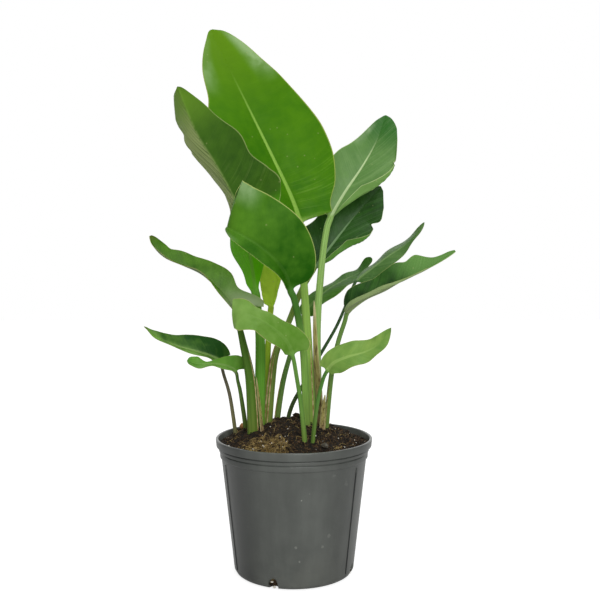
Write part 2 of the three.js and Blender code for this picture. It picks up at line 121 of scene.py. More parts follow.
# Leaves
STEM_DEPTH = 34.0
STEM_FLATNESS = 0.8
BLADE_THICKNESS = 0.75
EDGE_THICKNESS = 0.55
RIB_HALF_WIDTH = 3.0
RIB_DEPTH = 3.2
FORWARD_SWEEP = 0.25
ROLL_RADIUS = 1.8
ROLL_TURN = 2.8
BASE_STEPS = 42
SHEATH_CELLS = (14, 90)

# Each leaf. Pairs give the left half first.
# slot: name of its finish. cells: columns on each half and steps along the blade.
# size: half widths of the stem at the soil and at the blade.
# stem: points from the soil surface up to the blade. rib: points along the blade to its tip.
# widths: half widths of the blade at eleven even steps from base to tip.
# round: shares of the blade over which each half is rounded off at its two ends.
# turn: degrees that the upper face turns from the front toward the blade's right side, at the
# base, the middle and the tip. fold: degrees that each half rises from flat.
# open: share of the fold that is lost toward the tip.
# curl: degrees that each half bends between rib and edge.
# base: how far each half leans ahead of the rib at the base. ripple: height of the waves.
# margins: bearing from the front, start and end along the stem, and width of dry stem edges.
# nicks: half, place along the blade, length along it and depth of small tears in the edge.
# rolled: half, place, length along the blade and width of an edge that is rolled over the face.
# colours: deep, bright, midrib, underside, edge and stem.
# veins, midrib, shine: how much each shows. rib_width: width of the pale line on the midrib.
# lean: how far the side veins run ahead for each step away from the rib.
# tones: shift from deep to bright on the left and right half, at the base and at the tip.
# pale: share of a painted sheen, in the underside's colour, on each half's upper face.
# glow: colour of painted light on the sunlit base of a blade, and the shares of it where that fades out.
# tipped: colour toward the tip, and the shares of the blade where it comes in.
# painted_sheen: shares of the blade where a pale painted sheen of reflected light starts and ends, and its
# strength on each half.
# pleats: strength of the broad vein bands on each half, and the middle and spread of the stretch
# of blade that has them. neck_shade: colour of painted shade on the stem just under the blade.
# husk: dry skin on the stem, from a low to a high height, and where it ends across the stem, in metres.
USUAL_LEAF = dict(open=0.35, ripple=1.6, rib_width=4.2, margins=(), nicks=(), rolled=())
LEAVES = (
    dict(
        name="leaf_tall_centre", slot="leaf_green", cells=(18, 180), size=(7.5, 5.5),
        stem=((26, 8), (21, 10, 337), (15, 14, 427), (11, 20, 485)),
        rib=((9, 24, 520), (-5, 28, 562), (-32, 35, 620), (-64, 42, 686), (-98, 50, 756), (-129, 58, 821)),
        widths=((31, 48, 62, 68, 68, 65, 79, 62, 52, 38, 21), (56, 54, 75, 91, 94, 90, 83, 71, 56, 51, 48)),
        round=((0.05, 0.2), (0.05, 0.24)), turn=(20, 23, 26),
        fold=(26, 20), curl=(-10, -14), base=(0.1, -0.1),
        margins=((38, 0.12, 0.42, 2.2),),
        colours=("#2d6805", "#4c820a", "#90bb50", "#7f9c4c", "#9cac50", "#96bf58"),
        veins=(0.08, 0.12), lean=(0.2, -0.15), midrib=0.95, shine=0.05, tones=(0.0, 0.1, 0.0, 0.35),
        tipped=("#628e14", 0.55, 1.0), painted_sheen=(0.68, 1.0, 0.35, 0.6),
        rib_width=5.0, pleats=(0.0, 0.9, 0.16, 0.22),
    ),
    dict(
        name="leaf_left_back", slot="leaf_dark", cells=(18, 180), size=(8.5, 6.5),
        stem=((-52, 3), (-50, -8, 338), (-53, -14, 380)),
        rib=((-56, -17, 414), (-64, -20, 469), (-76, -24, 525), (-91, -26, 561), (-114, -28, 603),
             (-142, -28, 649), (-169, -24, 715)),
        widths=((16, 21, 44, 36, 26, 27, 36, 40, 43, 45, 56), (3, 17, 37, 55, 73, 66, 54, 56, 45, 31, 17)),
        round=((0.06, 0.14), (0.06, 0.12)), turn=(12, -28, -26),
        fold=(-40, -26), open=0.55, curl=(-18, 6), base=(0, 0.2),
        colours=("#2f5614", "#4a741e", "#7f9a50", "#b6c67e", "#9cae68", "#6cac38"),
        veins=(1.0, 0.2), lean=(2.2, 0.4), midrib=0.35, shine=0.12, tones=(0.1, 0.0, -0.1, 0.0),
        pale=(0.8, 0), glow=("#62c200", 0.26, 0.4), tipped=("#6a962a", 0.8, 0.97),
        pleats=(0.0, 0.9, 0.55, 0.16),
        nicks=((0, 0.86, 0.02, 7), (0, 0.79, 0.012, 3)),
    ),
    dict(
        name="leaf_front_centre", slot="leaf_green", cells=(17, 160), size=(6.5, 5),
        stem=((19, -13), (15, -26, 320), (8, -48, 372), (1, -70, 408)),
        rib=((-4, -80, 420), (-10, -90, 441), (-22, -98, 460), (-41, -104, 478), (-63, -106, 493),
             (-81, -102, 503), (-91, -91, 509), (-90, -78, 512), (-81, -70, 515)),
        widths=((8, 12, 15, 18, 18, 16, 12, 8, 5, 3, 2), (13, 39, 54, 64, 65, 65, 65, 66, 66, 55, 36)),
        round=((0.05, 0.2), (0.05, 0.16)), turn=(30, 18, -12),
        fold=(32, 26), open=0.8, curl=(-6, -12), base=(0.1, -0.15),
        colours=("#205804", "#568a22", "#6f9f45", "#7fa557", "#b0bf6c", "#8ab855"),
        veins=(0.15, 0.15), lean=(0.4, 0.5), midrib=0.12, shine=0.07, tones=(-0.1, 0.05, -0.35, 0.5),
        painted_sheen=(0.5, 0.97, 0.2, 0.5),
        neck_shade="#2f6a22",
    ),
    dict(
        name="leaf_right_top", slot="leaf_pale", cells=(16, 150), size=(6.5, 5),
        stem=((38, 26), (35, 32, 350), (41, 42, 442), (48, 48, 500)),
        rib=((56, 51, 530), (78, 57, 570), (106, 64, 611), (128, 72, 650), (145, 80, 694)),
        widths=((20, 34, 44, 49, 49, 45, 37, 31, 24, 15, 6), (4, 9, 18, 27, 39, 46, 45, 39, 32, 26, 22)),
        round=((0.08, 0.08), (0.08, 0.14)), turn=(-12, -15, -18),
        fold=(14, 14), curl=(-8, -16), base=(-0.2, -0.2),
        colours=("#517e38", "#6f9850", "#bcd49a", "#6f9a48", "#b6cc8a", "#9ac468"),
        veins=(0.3, 0.7), lean=(0.6, 1.8), midrib=1.0, shine=0.25, tones=(0.1, 0.0, 0.1, -0.3),
        tipped=("#1f6410", 0.66, 0.9), painted_sheen=(0.62, 0.93, 0.7, 0.0),
        rib_width=2.6, husk=(0.25, 0.36, -0.002, 0.001),
        nicks=((1, 0.62, 0.012, 2.5),), rolled=((1, 0.13, 0.34, 24),),
    ),
    dict(
        name="leaf_right_second", slot="leaf_dark", cells=(16, 160), size=(7, 4.5),
        stem=((-40, 18), (-35, 23, 276), (-28, 31, 323), (-10, 48, 365), (10, 64, 415)),
        rib=((30, 78, 450), (51, 88, 479), (77, 98, 512), (101, 104, 541), (141, 110, 584)),
        widths=((50, 62, 62, 53, 48, 48, 46, 42, 35, 25, 14), (3, 8, 16, 19, 26, 38, 40, 38, 40, 27, 11)),
        round=((0.08, 0.06), (0.08, 0.06)), turn=(-15, -15, -15),
        fold=(16, 14), curl=(-6, -20), base=(-0.3, -0.2), ripple=4,
        margins=((-55, 0.14, 0.62, 3.2), (-10, 0.14, 0.5, 2.0)),
        colours=("#1a3e0e", "#2f5c1b", "#7fa070", "#5c9034", "#a6ba7a", "#74903a"),
        veins=(0.3, 0.8), lean=(0.6, 2.0), midrib=0.8, shine=0.2, tones=(0.0, 0.1, 0.1, -0.1),
        rib_width=2.6,
        nicks=((1, 0.74, 0.03, 9),), rolled=((1, 0.1, 0.36, 30),),
    ),
    dict(
        name="leaf_left_long", slot="leaf_green", cells=(14, 150), size=(10, 4.5),
        stem=((-60, -14), (-64, -20, 287), (-74, -28, 342), (-80, -34, 372)),
        rib=((-82, -36, 387), (-95, -36, 408), (-111, -35, 426), (-133, -34, 445), (-159, -33, 457),
             (-185, -35, 468), (-201, -36, 483), (-207, -38, 499)),
        widths=((12, 19, 22, 22, 20, 17, 14, 11, 8, 5, 3), (37, 40, 23, 28, 24, 22, 19, 15, 17, 12, 4)),
        round=((0.04, 0.05), (0.04, 0.05)), turn=(36, 55, 48),
        fold=(44, 34), open=0.1, curl=(-4, -10), base=(0, -0.6), ripple=2,
        margins=((62, 0.12, 0.55, 1.8),),
        colours=("#2c560c", "#5a8a24", "#7f9c50", "#8aa070", "#97994f", "#557e28"),
        veins=(0.4, 0.4), lean=(0.5, 0.5), midrib=0.2, shine=0.15, tones=(0.0, 0.0, 0.1, 0.0),
        glow=("#84986a", 0.06, 0.3), tipped=("#56681f", 0.9, 1.0),
    ),
    dict(
        name="leaf_far_left", slot="leaf_dark", cells=(9, 100), size=(3.6, 2.8),
        stem=((-89, 18), (-97, 15, 256), (-106, 12, 290)),
        rib=((-112, 8, 311), (-125, 5, 320), (-147, 0, 328), (-176, -4, 337), (-204, -7, 351),
             (-222, -10, 366)),
        widths=((8, 11, 12, 11, 10, 9, 8, 6, 5, 4, 3), (18, 23, 27, 29, 27, 22, 18, 14, 8, 4, 3)),
        round=((0.04, 0.04), (0.04, 0.04)), turn=(58, 58, 58),
        fold=(30, 30), curl=(-6, -10), base=(0, -0.6),
        colours=("#1c4c10", "#72a040", "#8fb060", "#6f944e", "#88924c", "#716b58"),
        veins=(0.4, 0.4), lean=(0.8, 0.8), midrib=0.6, shine=0.15, tones=(0.4, -0.3, -0.35, 0.35),
        tipped=("#6a7a40", 0.9, 1.0),
    ),
    dict(
        name="leaf_small_left", slot="leaf_pale", cells=(9, 100), size=(4.5, 3),
        stem=((-73, 13), (-80, 4, 262), (-84, -3, 284)),
        rib=((-86, -10, 297), (-96, -16, 306), (-111, -24, 311), (-127, -30, 312), (-142, -34, 313),
             (-155, -37, 318)),
        widths=((8, 12, 15, 15, 11, 8, 11, 14, 15, 18, 18), (11, 20, 22, 16, 9, 5, 5, 9, 11, 11, 10)),
        round=((0.05, 0.08), (0.05, 0.08)), turn=(58, 68, 78),
        fold=(46, 44), curl=(-10, -20), base=(-0.4, -0.9),
        colours=("#4c8a28", "#74a83f", "#9cc070", "#8fb266", "#97a35a", "#5c803c"),
        veins=(0.4, 0.4), lean=(0.5, 0.5), midrib=0.5, shine=0.15, tones=(0.0, 0.0, 0.0, 0.0),
    ),
    dict(
        name="leaf_front_lower", slot="leaf_pale", cells=(14, 140), size=(4, 3),
        stem=((16, -62), (10, -72, 262), (4, -82, 302)),
        rib=((-1, -90, 330), (-9, -98, 351), (-24, -104, 367), (-43, -108, 381), (-60, -109, 389),
             (-74, -107, 391), (-84, -103, 388)),
        widths=((9, 13, 17, 21, 24, 27, 29, 29, 27, 24, 22), (18, 31, 28, 23, 20, 19, 19, 21, 23, 25, 25)),
        round=((0.06, 0.06), (0.06, 0.06)), turn=(28, 66, 36),
        fold=(6, 8), curl=(-8, -10), base=(0, -0.5),
        colours=("#568624", "#84aa54", "#8fb262", "#9ab46e", "#bcb878", "#6a9c44"),
        veins=(0.2, 0.2), lean=(0.5, 0.5), midrib=0.15, shine=0.12, tones=(0.0, 0.0, -0.25, 0.25),
    ),
    dict(
        name="leaf_young", slot="leaf_young", cells=(10, 100), size=(5.5, 4.5),
        stem=((-45, 38), (-42, 37, 290), (-39, 29, 350)),
        rib=((-35, 20, 393), (-30, 19, 413), (-26, 18, 438), (-21, 18, 468)),
        widths=((16, 16, 21, 23, 25, 27, 29, 32, 35, 37, 46), (5, 5, 5, 5, 5, 6, 7, 7, 6, 4, 3)),
        round=((0.12, 0.1), (0.12, 0.1)), turn=(0, 0, 0),
        fold=(24, 20), curl=(20, 20), base=(0, 0),
        colours=("#98cc2c", "#d0f050", "#b8d64a", "#a4c44c", "#a8b34c", "#a6c83a"),
        veins=(0.4, 0.4), lean=(1.5, 1.5), midrib=0.4, shine=0.08, tones=(-0.1, 0.1, 0.1, 0.0),
    ),
    dict(
        name="leaf_right_back", slot="leaf_green", cells=(10, 120), size=(5, 3.6),
        stem=((-27, 44), (-18, 48, 273), (-6, 55, 318), (5, 66, 352)),
        rib=((14, 76, 376), (28, 84, 396), (54, 94, 419), (84, 106, 436), (108, 114, 448), (126, 120, 470)),
        widths=((12, 16, 18, 18, 16, 15, 16, 15, 13, 12, 10), (12, 16, 18, 22, 26, 26, 24, 18, 9, 7, 5)),
        round=((0.06, 0.06), (0.06, 0.06)), turn=(-34, -56, -42),
        fold=(4, 4), curl=(-8, -10), base=(-0.4, -0.1),
        margins=((-70, 0.14, 0.5, 1.6),),
        colours=("#285610", "#4e7e26", "#7fa458", "#7a9c56", "#8f9c55", "#6a9446"),
        veins=(0.5, 0.5), lean=(0.8, 0.8), midrib=0.4, shine=0.2, tones=(0.0, 0.0, 0.3, -0.3),
        tipped=("#2c5c14", 0.6, 0.9),
    ),
    dict(
        name="leaf_right_upper", slot="leaf_dark", cells=(9, 110), size=(4, 2.8),
        stem=((-10, 46), (-3, 45, 240), (14, 42, 272), (40, 42, 318), (64, 40, 360), (80, 38, 396)),
        rib=((94, 36, 431), (106, 34, 443), (122, 31, 455), (143, 28, 471), (167, 25, 487),
             (185, 23, 504), (197, 22, 522)),
        widths=((6, 12, 18, 22, 24, 25, 24, 22, 16, 9, 4), (14, 18, 20, 21, 21, 19, 14, 9, 6, 3, 2)),
        round=((0.05, 0.04), (0.05, 0.04)), turn=(-62, -62, -62),
        fold=(-18, -18), curl=(-8, -8), base=(0, 0),
        colours=("#356026", "#587e3c", "#8fb070", "#88a468", "#8f9c60", "#3f6236"),
        veins=(0.5, 0.5), lean=(1.5, 1.5), midrib=0.5, shine=0.25, tones=(0.1, 0.0, 0.0, 0.1),
    ),
    dict(
        name="leaf_right_lower", slot="leaf_dark", cells=(9, 120), size=(5, 4),
        stem=((48, -6), (55, -14, 290), (64, -22, 340), (74, -30, 374)),
        rib=((77, -35, 386), (87, -42, 397), (105, -50, 410), (129, -56, 421), (153, -63, 435),
             (186, -72, 451), (225, -80, 476)),
        widths=((9, 19, 24, 24, 23, 24, 25, 30, 34, 10, 3), (8, 14, 17, 18, 17, 17, 18, 17, 14, 9, 3)),
        round=((0.05, 0.04), (0.05, 0.04)), turn=(-64, -59, -54),
        fold=(38, 60), open=0.2, curl=(-8, -12), base=(0, 0),
        margins=((-30, 0.12, 0.4, 1.6),),
        colours=("#12360a", "#3e7222", "#7fa45c", "#98ac72", "#98a562", "#78a24c"),
        veins=(0.6, 0.6), lean=(0.8, 1.2), midrib=0.5, shine=0.25, tones=(0.0, -0.1, -0.6, 0.3),
        tipped=("#6a9a4a", 0.6, 0.8),
        nicks=((0, 0.74, 0.09, 9),), rolled=((1, 0.22, 0.34, 14),),
    ),
    dict(
        name="leaf_right_small", slot="leaf_pale", cells=(10, 110), size=(3.6, 2.8),
        stem=((27, -60), (33, -72, 258), (40, -80, 292)),
        rib=((46, -86, 308), (57, -92, 322), (77, -99, 331), (99, -104, 338), (118, -107, 350),
             (133, -106, 371)),
        widths=((11, 17, 22, 25, 25, 24, 22, 18, 14, 9, 3), (9, 14, 19, 21, 21, 20, 18, 15, 12, 7, 3)),
        round=((0.05, 0.05), (0.05, 0.05)), turn=(-40, -64, -50),
        fold=(4, 8), curl=(-8, -8), base=(-0.5, -0.1),
        colours=("#5c8a38", "#8aac50", "#a4c46c", "#9aba68", "#a5a760", "#5a8f3c"),
        veins=(0.5, 0.5), lean=(0.8, 0.8), midrib=0.5, shine=0.2, tones=(0.1, -0.1, 0.0, 0.0),
    ),
)

# Dried leaf bases: foot, points up to the tip, half width, and which way they face.
DRY_SHEATHS = (
    dict(name="dry_sheath_tall", foot=(40, 1), line=((37, -1, 262), (32, 0, 330), (30, 7, 404)),
         half=6.5, face=(-0.3, -1)),
    dict(name="dry_sheath_right", foot=(42, -18), line=((43, -18, 238), (46, -19, 266)),
         half=5.0, face=(0, -1)),
    dict(name="dry_sheath_left", foot=(-46, -20), line=((-50, -21, 250), (-55, -22, 292)),
         half=3.2, face=(0.6, -1)),
)


def lerp(start, end, share):
    return start + (end - start) * share


def smoothstep(low, high, value):
    share = min(max((value - low) / (high - low), 0.0), 1.0)
    return share * share * (3 - 2 * share)


def tint(code):
    """A linear colour with alpha from a hex code."""
    parts = [int(code[i:i + 2], 16) / 255 for i in (1, 3, 5)]
    return tuple(p / 12.92 if p <= 0.04045 else ((p + 0.055) / 1.055) ** 2.4 for p in parts) + (1.0,)


def body_radius(height):
    """Radius of the pot's tapered wall, in millimetres."""
    return lerp(FOOT_RADIUS, BODY_TOP_RADIUS, height / BODY_TOP_HEIGHT)


def soil_height(x, y):
    """Height of the heaped potting mix at a place in the pot, in millimetres."""
    out = min(math.hypot(x - SOIL_CREST[0], y - SOIL_CREST[1]) / SOIL_MOUND_RADIUS, 1)
    heap = SOIL_MOUND * (1 - out * out) ** 1.3
    lumps = math.sin(x * 0.31 + 1) * math.cos(y * 0.27) + math.sin(x * 0.13 - y * 0.19)
    return SOIL_EDGE_HEIGHT + heap + SOIL_LUMP * lumps


def soil_surface(x, y):
    """The heap with its crumbs, in millimetres."""
    place = Vector((x, y, 0))
    coarse = noise.noise(place * 0.11) * 2.2
    crumbs = noise.noise(place * 0.36) * 1.3 + noise.noise(place * 0.8) * 0.8
    level = min(soil_height(x, y), SOIL_EDGE_HEIGHT + SOIL_MOUND)
    edge = smoothstep(SOIL_RADIUS - 2, SOIL_RADIUS - 16, math.hypot(x, y))
    return lerp(SOIL_EDGE_HEIGHT + 0.6 * crumbs, level + coarse + crumbs, edge)


# Meshes

def new_piece(name, bm, materials, smooth_angle=40.0, replaces=()):
    """A finished piece from a bmesh, riding on the plant's body."""
    mesh = bpy.data.meshes.new(name)
    bm.to_mesh(mesh)
    bm.free()
    for material in materials:
        mesh.materials.append(material)
    mesh.shade_smooth()
    mesh.set_sharp_from_angle(angle=math.radians(smooth_angle))
    piece = bpy.data.objects.new(name, mesh)
    bpy.context.scene.collection.objects.link(piece)
    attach(piece, "root")
    if replaces:
        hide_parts(*replaces)
    return piece


def merged(bm, distance=1e-6):
    """Doubles merged and faces turned outward."""
    bmesh.ops.remove_doubles(bm, verts=bm.verts, dist=distance)
    bmesh.ops.recalc_face_normals(bm, faces=bm.faces)


def open_edges(bm):
    return [edge for edge in bm.edges if edge.is_boundary]


def close_up(bm, verts):
    """Merges doubles among the vertices and fills every open loop."""
    bmesh.ops.remove_doubles(bm, verts=verts, dist=1e-7)
    bmesh.ops.holes_fill(bm, edges=open_edges(bm), sides=0)


def grid_cells(bm, columns, rows):
    """Adds a grid and gives each new vertex with its column and row."""
    made = bmesh.ops.create_grid(bm, x_segments=columns, y_segments=rows, size=1.0)
    cells = []
    for vert in made["verts"]:
        column = round((vert.co.x + 1) / 2 * columns)
        row = round((vert.co.y + 1) / 2 * rows)
        cells.append((vert, column, row))
    return cells


def curve_point(points, share):
    """A point on the smooth curve through a row of points."""
    spans = len(points) - 1
    position = min(max(share, 0.0), 1.0) * spans
    index = min(int(position), spans - 1)
    part = position - index
    start, end = points[index], points[index + 1]
    before = points[index - 1] if index > 0 else 2 * start - end
    after = points[index + 2] if index + 2 <= spans else 2 * end - start
    bend = (end - before) * part
    bend += (2 * before - 5 * start + 4 * end - after) * part ** 2
    bend += (3 * start - before - 3 * end + after) * part ** 3
    return start + 0.5 * bend


def curve_heading(points, share):
    ahead = curve_point(points, share + 0.0001) - curve_point(points, share - 0.0001)
    return ahead.normalized()


# Leaves

def leaf_line(leaf):
    """A leaf's centre line from its foot in the soil to its tip, and where the blade starts."""
    (x, y), *above = leaf["stem"]
    surface = soil_height(x, y)
    points = [(x, y, surface - STEM_DEPTH), (x, y, surface - 4), *above, *leaf["rib"]]
    return [Vector(p) for p in points], (len(above) + 2) / (len(points) - 1)


class Station:
    """One place along a leaf: its frame, its share of the blade and its distance from the blade's base."""

    def __init__(self, along, blade):
        self.along = along
        self.blade = blade
        self.travel = 0.0


def leaf_stations(leaf, blade_steps):
    """Every station of a leaf, with its face carried along the centre line and then turned."""
    points, blade_start = leaf_line(leaf)
    stations = [Station(blade_start * i / BASE_STEPS, 0.0) for i in range(BASE_STEPS)]
    for i in range(blade_steps + 1):
        blade = (i / blade_steps) ** 1.15
        stations.append(Station(lerp(blade_start, 1, blade), blade))
    for station in stations:
        station.place = curve_point(points, station.along)
        station.ahead = curve_heading(points, station.along)
    start = stations[BASE_STEPS]
    front = Vector((0, -1, 0))
    start.face = (front - start.ahead * front.dot(start.ahead)).normalized()
    order = [(i + 1, i) for i in reversed(range(BASE_STEPS))]
    order += [(i - 1, i) for i in range(BASE_STEPS + 1, len(stations))]
    for source, target in order:
        known, station = stations[source], stations[target]
        station.face = (known.face - station.ahead * known.face.dot(station.ahead)).normalized()
        step = (station.place - known.place).length
        station.travel = known.travel + (step if target > source else -step)
    base, middle, tip = leaf["turn"]
    for station in stations:
        inner = lerp(base, middle, min(station.blade * 2, 1))
        turn = math.radians(lerp(inner, tip, max(station.blade * 2 - 1, 0)))
        station.face.rotate(Matrix.Rotation(turn, 3, station.ahead))
        station.side = station.ahead.cross(station.face)
    for i, station in enumerate(stations):
        station.rise = min(i / BASE_STEPS, 1)
        station.stem_half = lerp(*leaf["size"], smoothstep(0.1, 0.8, station.rise))
    return stations


def quarter_round(share):
    return math.sqrt(1 - (1 - min(max(share, 0.002), 1)) ** 2)


def half_width(leaf, own, blade):
    """Half width of the blade at a place along it, in millimetres."""
    steps = leaf["widths"][own]
    place = min(blade, 1) * 10
    k = min(int(place), 9)
    t = place - k
    before, a, b, after = (steps[min(max(n, 0), 10)] for n in (k - 1, k, k + 1, k + 2))
    bow = (b - before) * t + (2 * before - 5 * a + 4 * b - after) * t * t
    bow += (3 * a - before - 3 * b + after) * t ** 3
    base, tip = leaf["round"][own]
    return (a + bow / 2) * quarter_round(blade / base) * quarter_round((1 - blade) / tip)


def rolled_width(leaf, own, blade):
    """Width of the part of one half that is rolled over the face."""
    width = 0.0
    for half, place, length, wide in leaf["rolled"]:
        if half == own:
            width += wide * math.exp(-((blade - place) / length) ** 2)
    return width


def half_curve(half, roll, start, bend, reach):
    """Across, up and slope of one half at a distance from its rib: a gentle bow, then a tight roll."""
    flat = half - (ROLL_RADIUS if roll > 0.5 else 0)
    near = min(reach, flat)
    angle = start + bend * near / half
    across = half * (math.sin(angle) - math.sin(start)) / bend
    up = half * (math.cos(start) - math.cos(angle)) / bend
    rest = reach - near
    if rest > 0:
        turn = min(rest / ROLL_RADIUS, ROLL_TURN)
        end = angle + turn
        across += ROLL_RADIUS * (math.sin(end) - math.sin(angle))
        up += ROLL_RADIUS * (math.cos(angle) - math.cos(end))
        straight = rest - turn * ROLL_RADIUS
        across += straight * math.cos(end)
        up += straight * math.sin(end)
        angle = end
    return across, up, angle


def nick_depth(leaf, own, blade):
    """How far small tears cut into one edge: a ragged step that heals toward the base."""
    depth = 0.0
    for half, place, length, deep in leaf["nicks"]:
        if half == own:
            away = (blade - place) / length
            depth += deep * math.exp(-(away * (0.7 if away > 0 else 1.6)) ** 2)
    return depth


def vein_relief(leaf, own, seed, travel, across, blade):
    """Height of the ridges between side veins, strongest over the lower half of the blade."""
    along = travel - leaf["lean"][own] * across - 0.002 * across * across
    ridge = noise.noise(Vector((along / 7.5, seed + own * 9.1, across / 90)))
    fine = noise.noise(Vector((along / 3.0, seed + own * 5.7, across / 60)))
    strength = smoothstep(3, 16, across) * lerp(1, 0.35, smoothstep(0.3, 0.9, blade))
    return (0.55 * ridge + 0.2 * fine) * strength


def rib_columns(count):
    """Columns from the rib's centre to the edge, as (share of the rib, share of the web)."""
    rib = [(0.0, 0.0), (0.36, 0.0), (0.7, 0.0), (1.0, 0.0)]
    return rib + [(1.0, 1 - (1 - (k + 1) / count) ** 1.5) for k in range(count)]


def blade_spots(leaf, station, own, column, seed):
    """The upper and the lower point of one column of the blade, as (across, up, ahead) in the
    station's frame, and how far out the column is."""
    hand = (-1, 1)[own]
    blade = station.blade
    half = max(half_width(leaf, own, blade) - nick_depth(leaf, own, blade), 1)
    roll = min(rolled_width(leaf, own, blade), half * 0.5)
    rib_edge = min(RIB_HALF_WIDTH * (1 - 0.6 * blade), half * 0.4) / half
    rib_share, web_share = column
    out = rib_edge * rib_share + (1 - rib_edge) * web_share
    start = math.radians(leaf["fold"][own] * (1 - leaf["open"] * blade))
    bend = math.radians(leaf["curl"][own])
    across, rise, angle = half_curve(half, roll, start, bend, out * (half + roll))
    rise += leaf["ripple"] * out * out * math.sin(blade * (17 + 3 * own) + leaf["widths"][0][4])
    if web_share:
        rise += leaf["veins"][own] * vein_relief(leaf, own, seed, station.travel, half * out, blade)
    sweep = lerp(leaf["base"][own], FORWARD_SWEEP * (1 - blade), smoothstep(0, 0.5, blade))
    lean = sweep * half * out * out
    rib = RIB_DEPTH * (1 - 0.85 * blade) * min(1, leaf["size"][1] / 4)
    swell = math.sqrt(max(1 - rib_share ** 2, 0)) if not web_share else 0.0
    groove = 0.5 * (1 - rib_share ** 2) * (1 - blade)
    under = lerp(BLADE_THICKNESS, EDGE_THICKNESS, web_share) + rib * swell
    lower_angle = angle * rib_share
    top = (hand * across, rise - groove, lean)
    low = (top[0] + hand * math.sin(lower_angle) * under, rise - math.cos(lower_angle) * under, lean)
    return top, low, hand * half * out, out


def stem_spots(station, own, order):
    """The upper and the lower point of the oval stem, with a shallow groove along its face."""
    hand = (-1, 1)[own]
    turn = math.radians(lerp(90, 7, order))
    side = hand * station.stem_half * math.cos(turn)
    up = station.stem_half * STEM_FLATNESS * math.sin(turn)
    groove = 0.22 * math.exp(-(math.cos(turn) / 0.42) ** 2) * smoothstep(0.25, 0.8, station.rise)
    return (side, up * (1 - groove), 0), (side, -up, 0)


def held_inside(place, low, high):
    """The place, moved back by up to 4 mm where the finer curve would pass the solid's box."""
    return Vector([min(max(part, least), most) for part, least, most in zip(place, low, high)])


def frame_point(station, spot):
    side, up, ahead = spot
    return station.place + station.side * side + station.face * up + station.ahead * ahead


def leaf_rows(leaf, station, columns, seed):
    """Points once round a leaf at one station, each with its growth and tissue values."""
    share = smoothstep(-0.001, 0.06, station.blade)
    uppers, lowers = [], []
    picks = [(0, i) for i in reversed(range(1, len(columns)))] + [(1, i) for i in range(len(columns))]
    for own, index in picks:
        top, low, reach, out = blade_spots(leaf, station, own, columns[index], seed)
        stem_top, stem_low = stem_spots(station, own, index / (len(columns) - 1))
        for row, spot, stem_spot, under in ((uppers, top, stem_top, 0.0), (lowers, low, stem_low, 1.0)):
            mixed = [lerp(a, b, share) for a, b in zip(stem_spot, (spot[0], spot[1], spot[2] * share))]
            growth = (lerp(stem_spot[0], reach, share) * MM, station.travel * MM, out)
            tissue = (share, under, station.blade)
            row.append((frame_point(station, mixed) * MM, growth, tissue))
    return uppers + lowers[::-1]


def stem_edge_strip(bm, stations, margin):
    """A thin dry edge that follows the stem on one bearing."""
    bearing, start, end, width = margin
    outward = Vector((math.sin(math.radians(bearing)), -math.cos(math.radians(bearing)), 0))
    first, last = round(start * BASE_STEPS), round(end * BASE_STEPS)
    rows = last - first
    cells = grid_cells(bm, 6, rows)
    for vert, column, row in cells:
        station = stations[first + row]
        angle = math.atan2(outward.dot(station.face) / STEM_FLATNESS, outward.dot(station.side))
        taper = math.sin(math.pi * min((row / rows) ** 0.7, 1)) ** 0.6 if 0 < row < rows else 0.04
        ragged = 1 + 0.35 * noise.noise(Vector((row * 0.8, bearing, 3)))
        turn = math.tau * column / 6
        offset = 0.5 * width * taper * ragged * math.cos(turn) / station.stem_half
        lift = 0.25 + 0.7 * taper * math.sin(turn)
        reach = station.stem_half + lift
        around = angle + offset
        spot = (reach * math.cos(around), reach * STEM_FLATNESS * math.sin(around), 0)
        vert.co = frame_point(station, spot) * MM
    return [vert for vert, _, _ in cells]


def make_leaf(leaf, index, settings):
    """One closed skin round stem and blade, and the dry edges on the stem."""
    count, blade_steps = leaf["cells"]
    columns = rib_columns(count)
    stations = leaf_stations(leaf, blade_steps)
    bm = bmesh.new()
    growth_layer = bm.verts.layers.float_vector.new("growth")
    tissue_layer = bm.verts.layers.float_vector.new("tissue")
    rows = [leaf_rows(leaf, station, columns, index * 3.7) for station in stations]
    around = len(rows[0])
    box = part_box(leaf["name"])
    for vert, column, row in grid_cells(bm, around, len(rows) - 1):
        place, growth, tissue = rows[row][column % around]
        vert.co = held_inside(place, *box)
        vert[growth_layer] = growth
        vert[tissue_layer] = tissue
    close_up(bm, bm.verts)
    bmesh.ops.recalc_face_normals(bm, faces=bm.faces)
    for margin in leaf["margins"]:
        strip = stem_edge_strip(bm, stations, margin)
        close_up(bm, strip)
        kept = [vert for vert in strip if vert.is_valid]
        faces = {face for vert in kept for face in vert.link_faces}
        bmesh.ops.recalc_face_normals(bm, faces=list(faces))
        for face in faces:
            face.material_index = 1
    materials = [leaf_material(leaf, index, settings), shared_material("dry_edge", dry_edge_material)]
    return new_piece(leaf["name"] + "_grown", bm, materials, 50.0, [leaf["name"]])


# Dried leaf bases

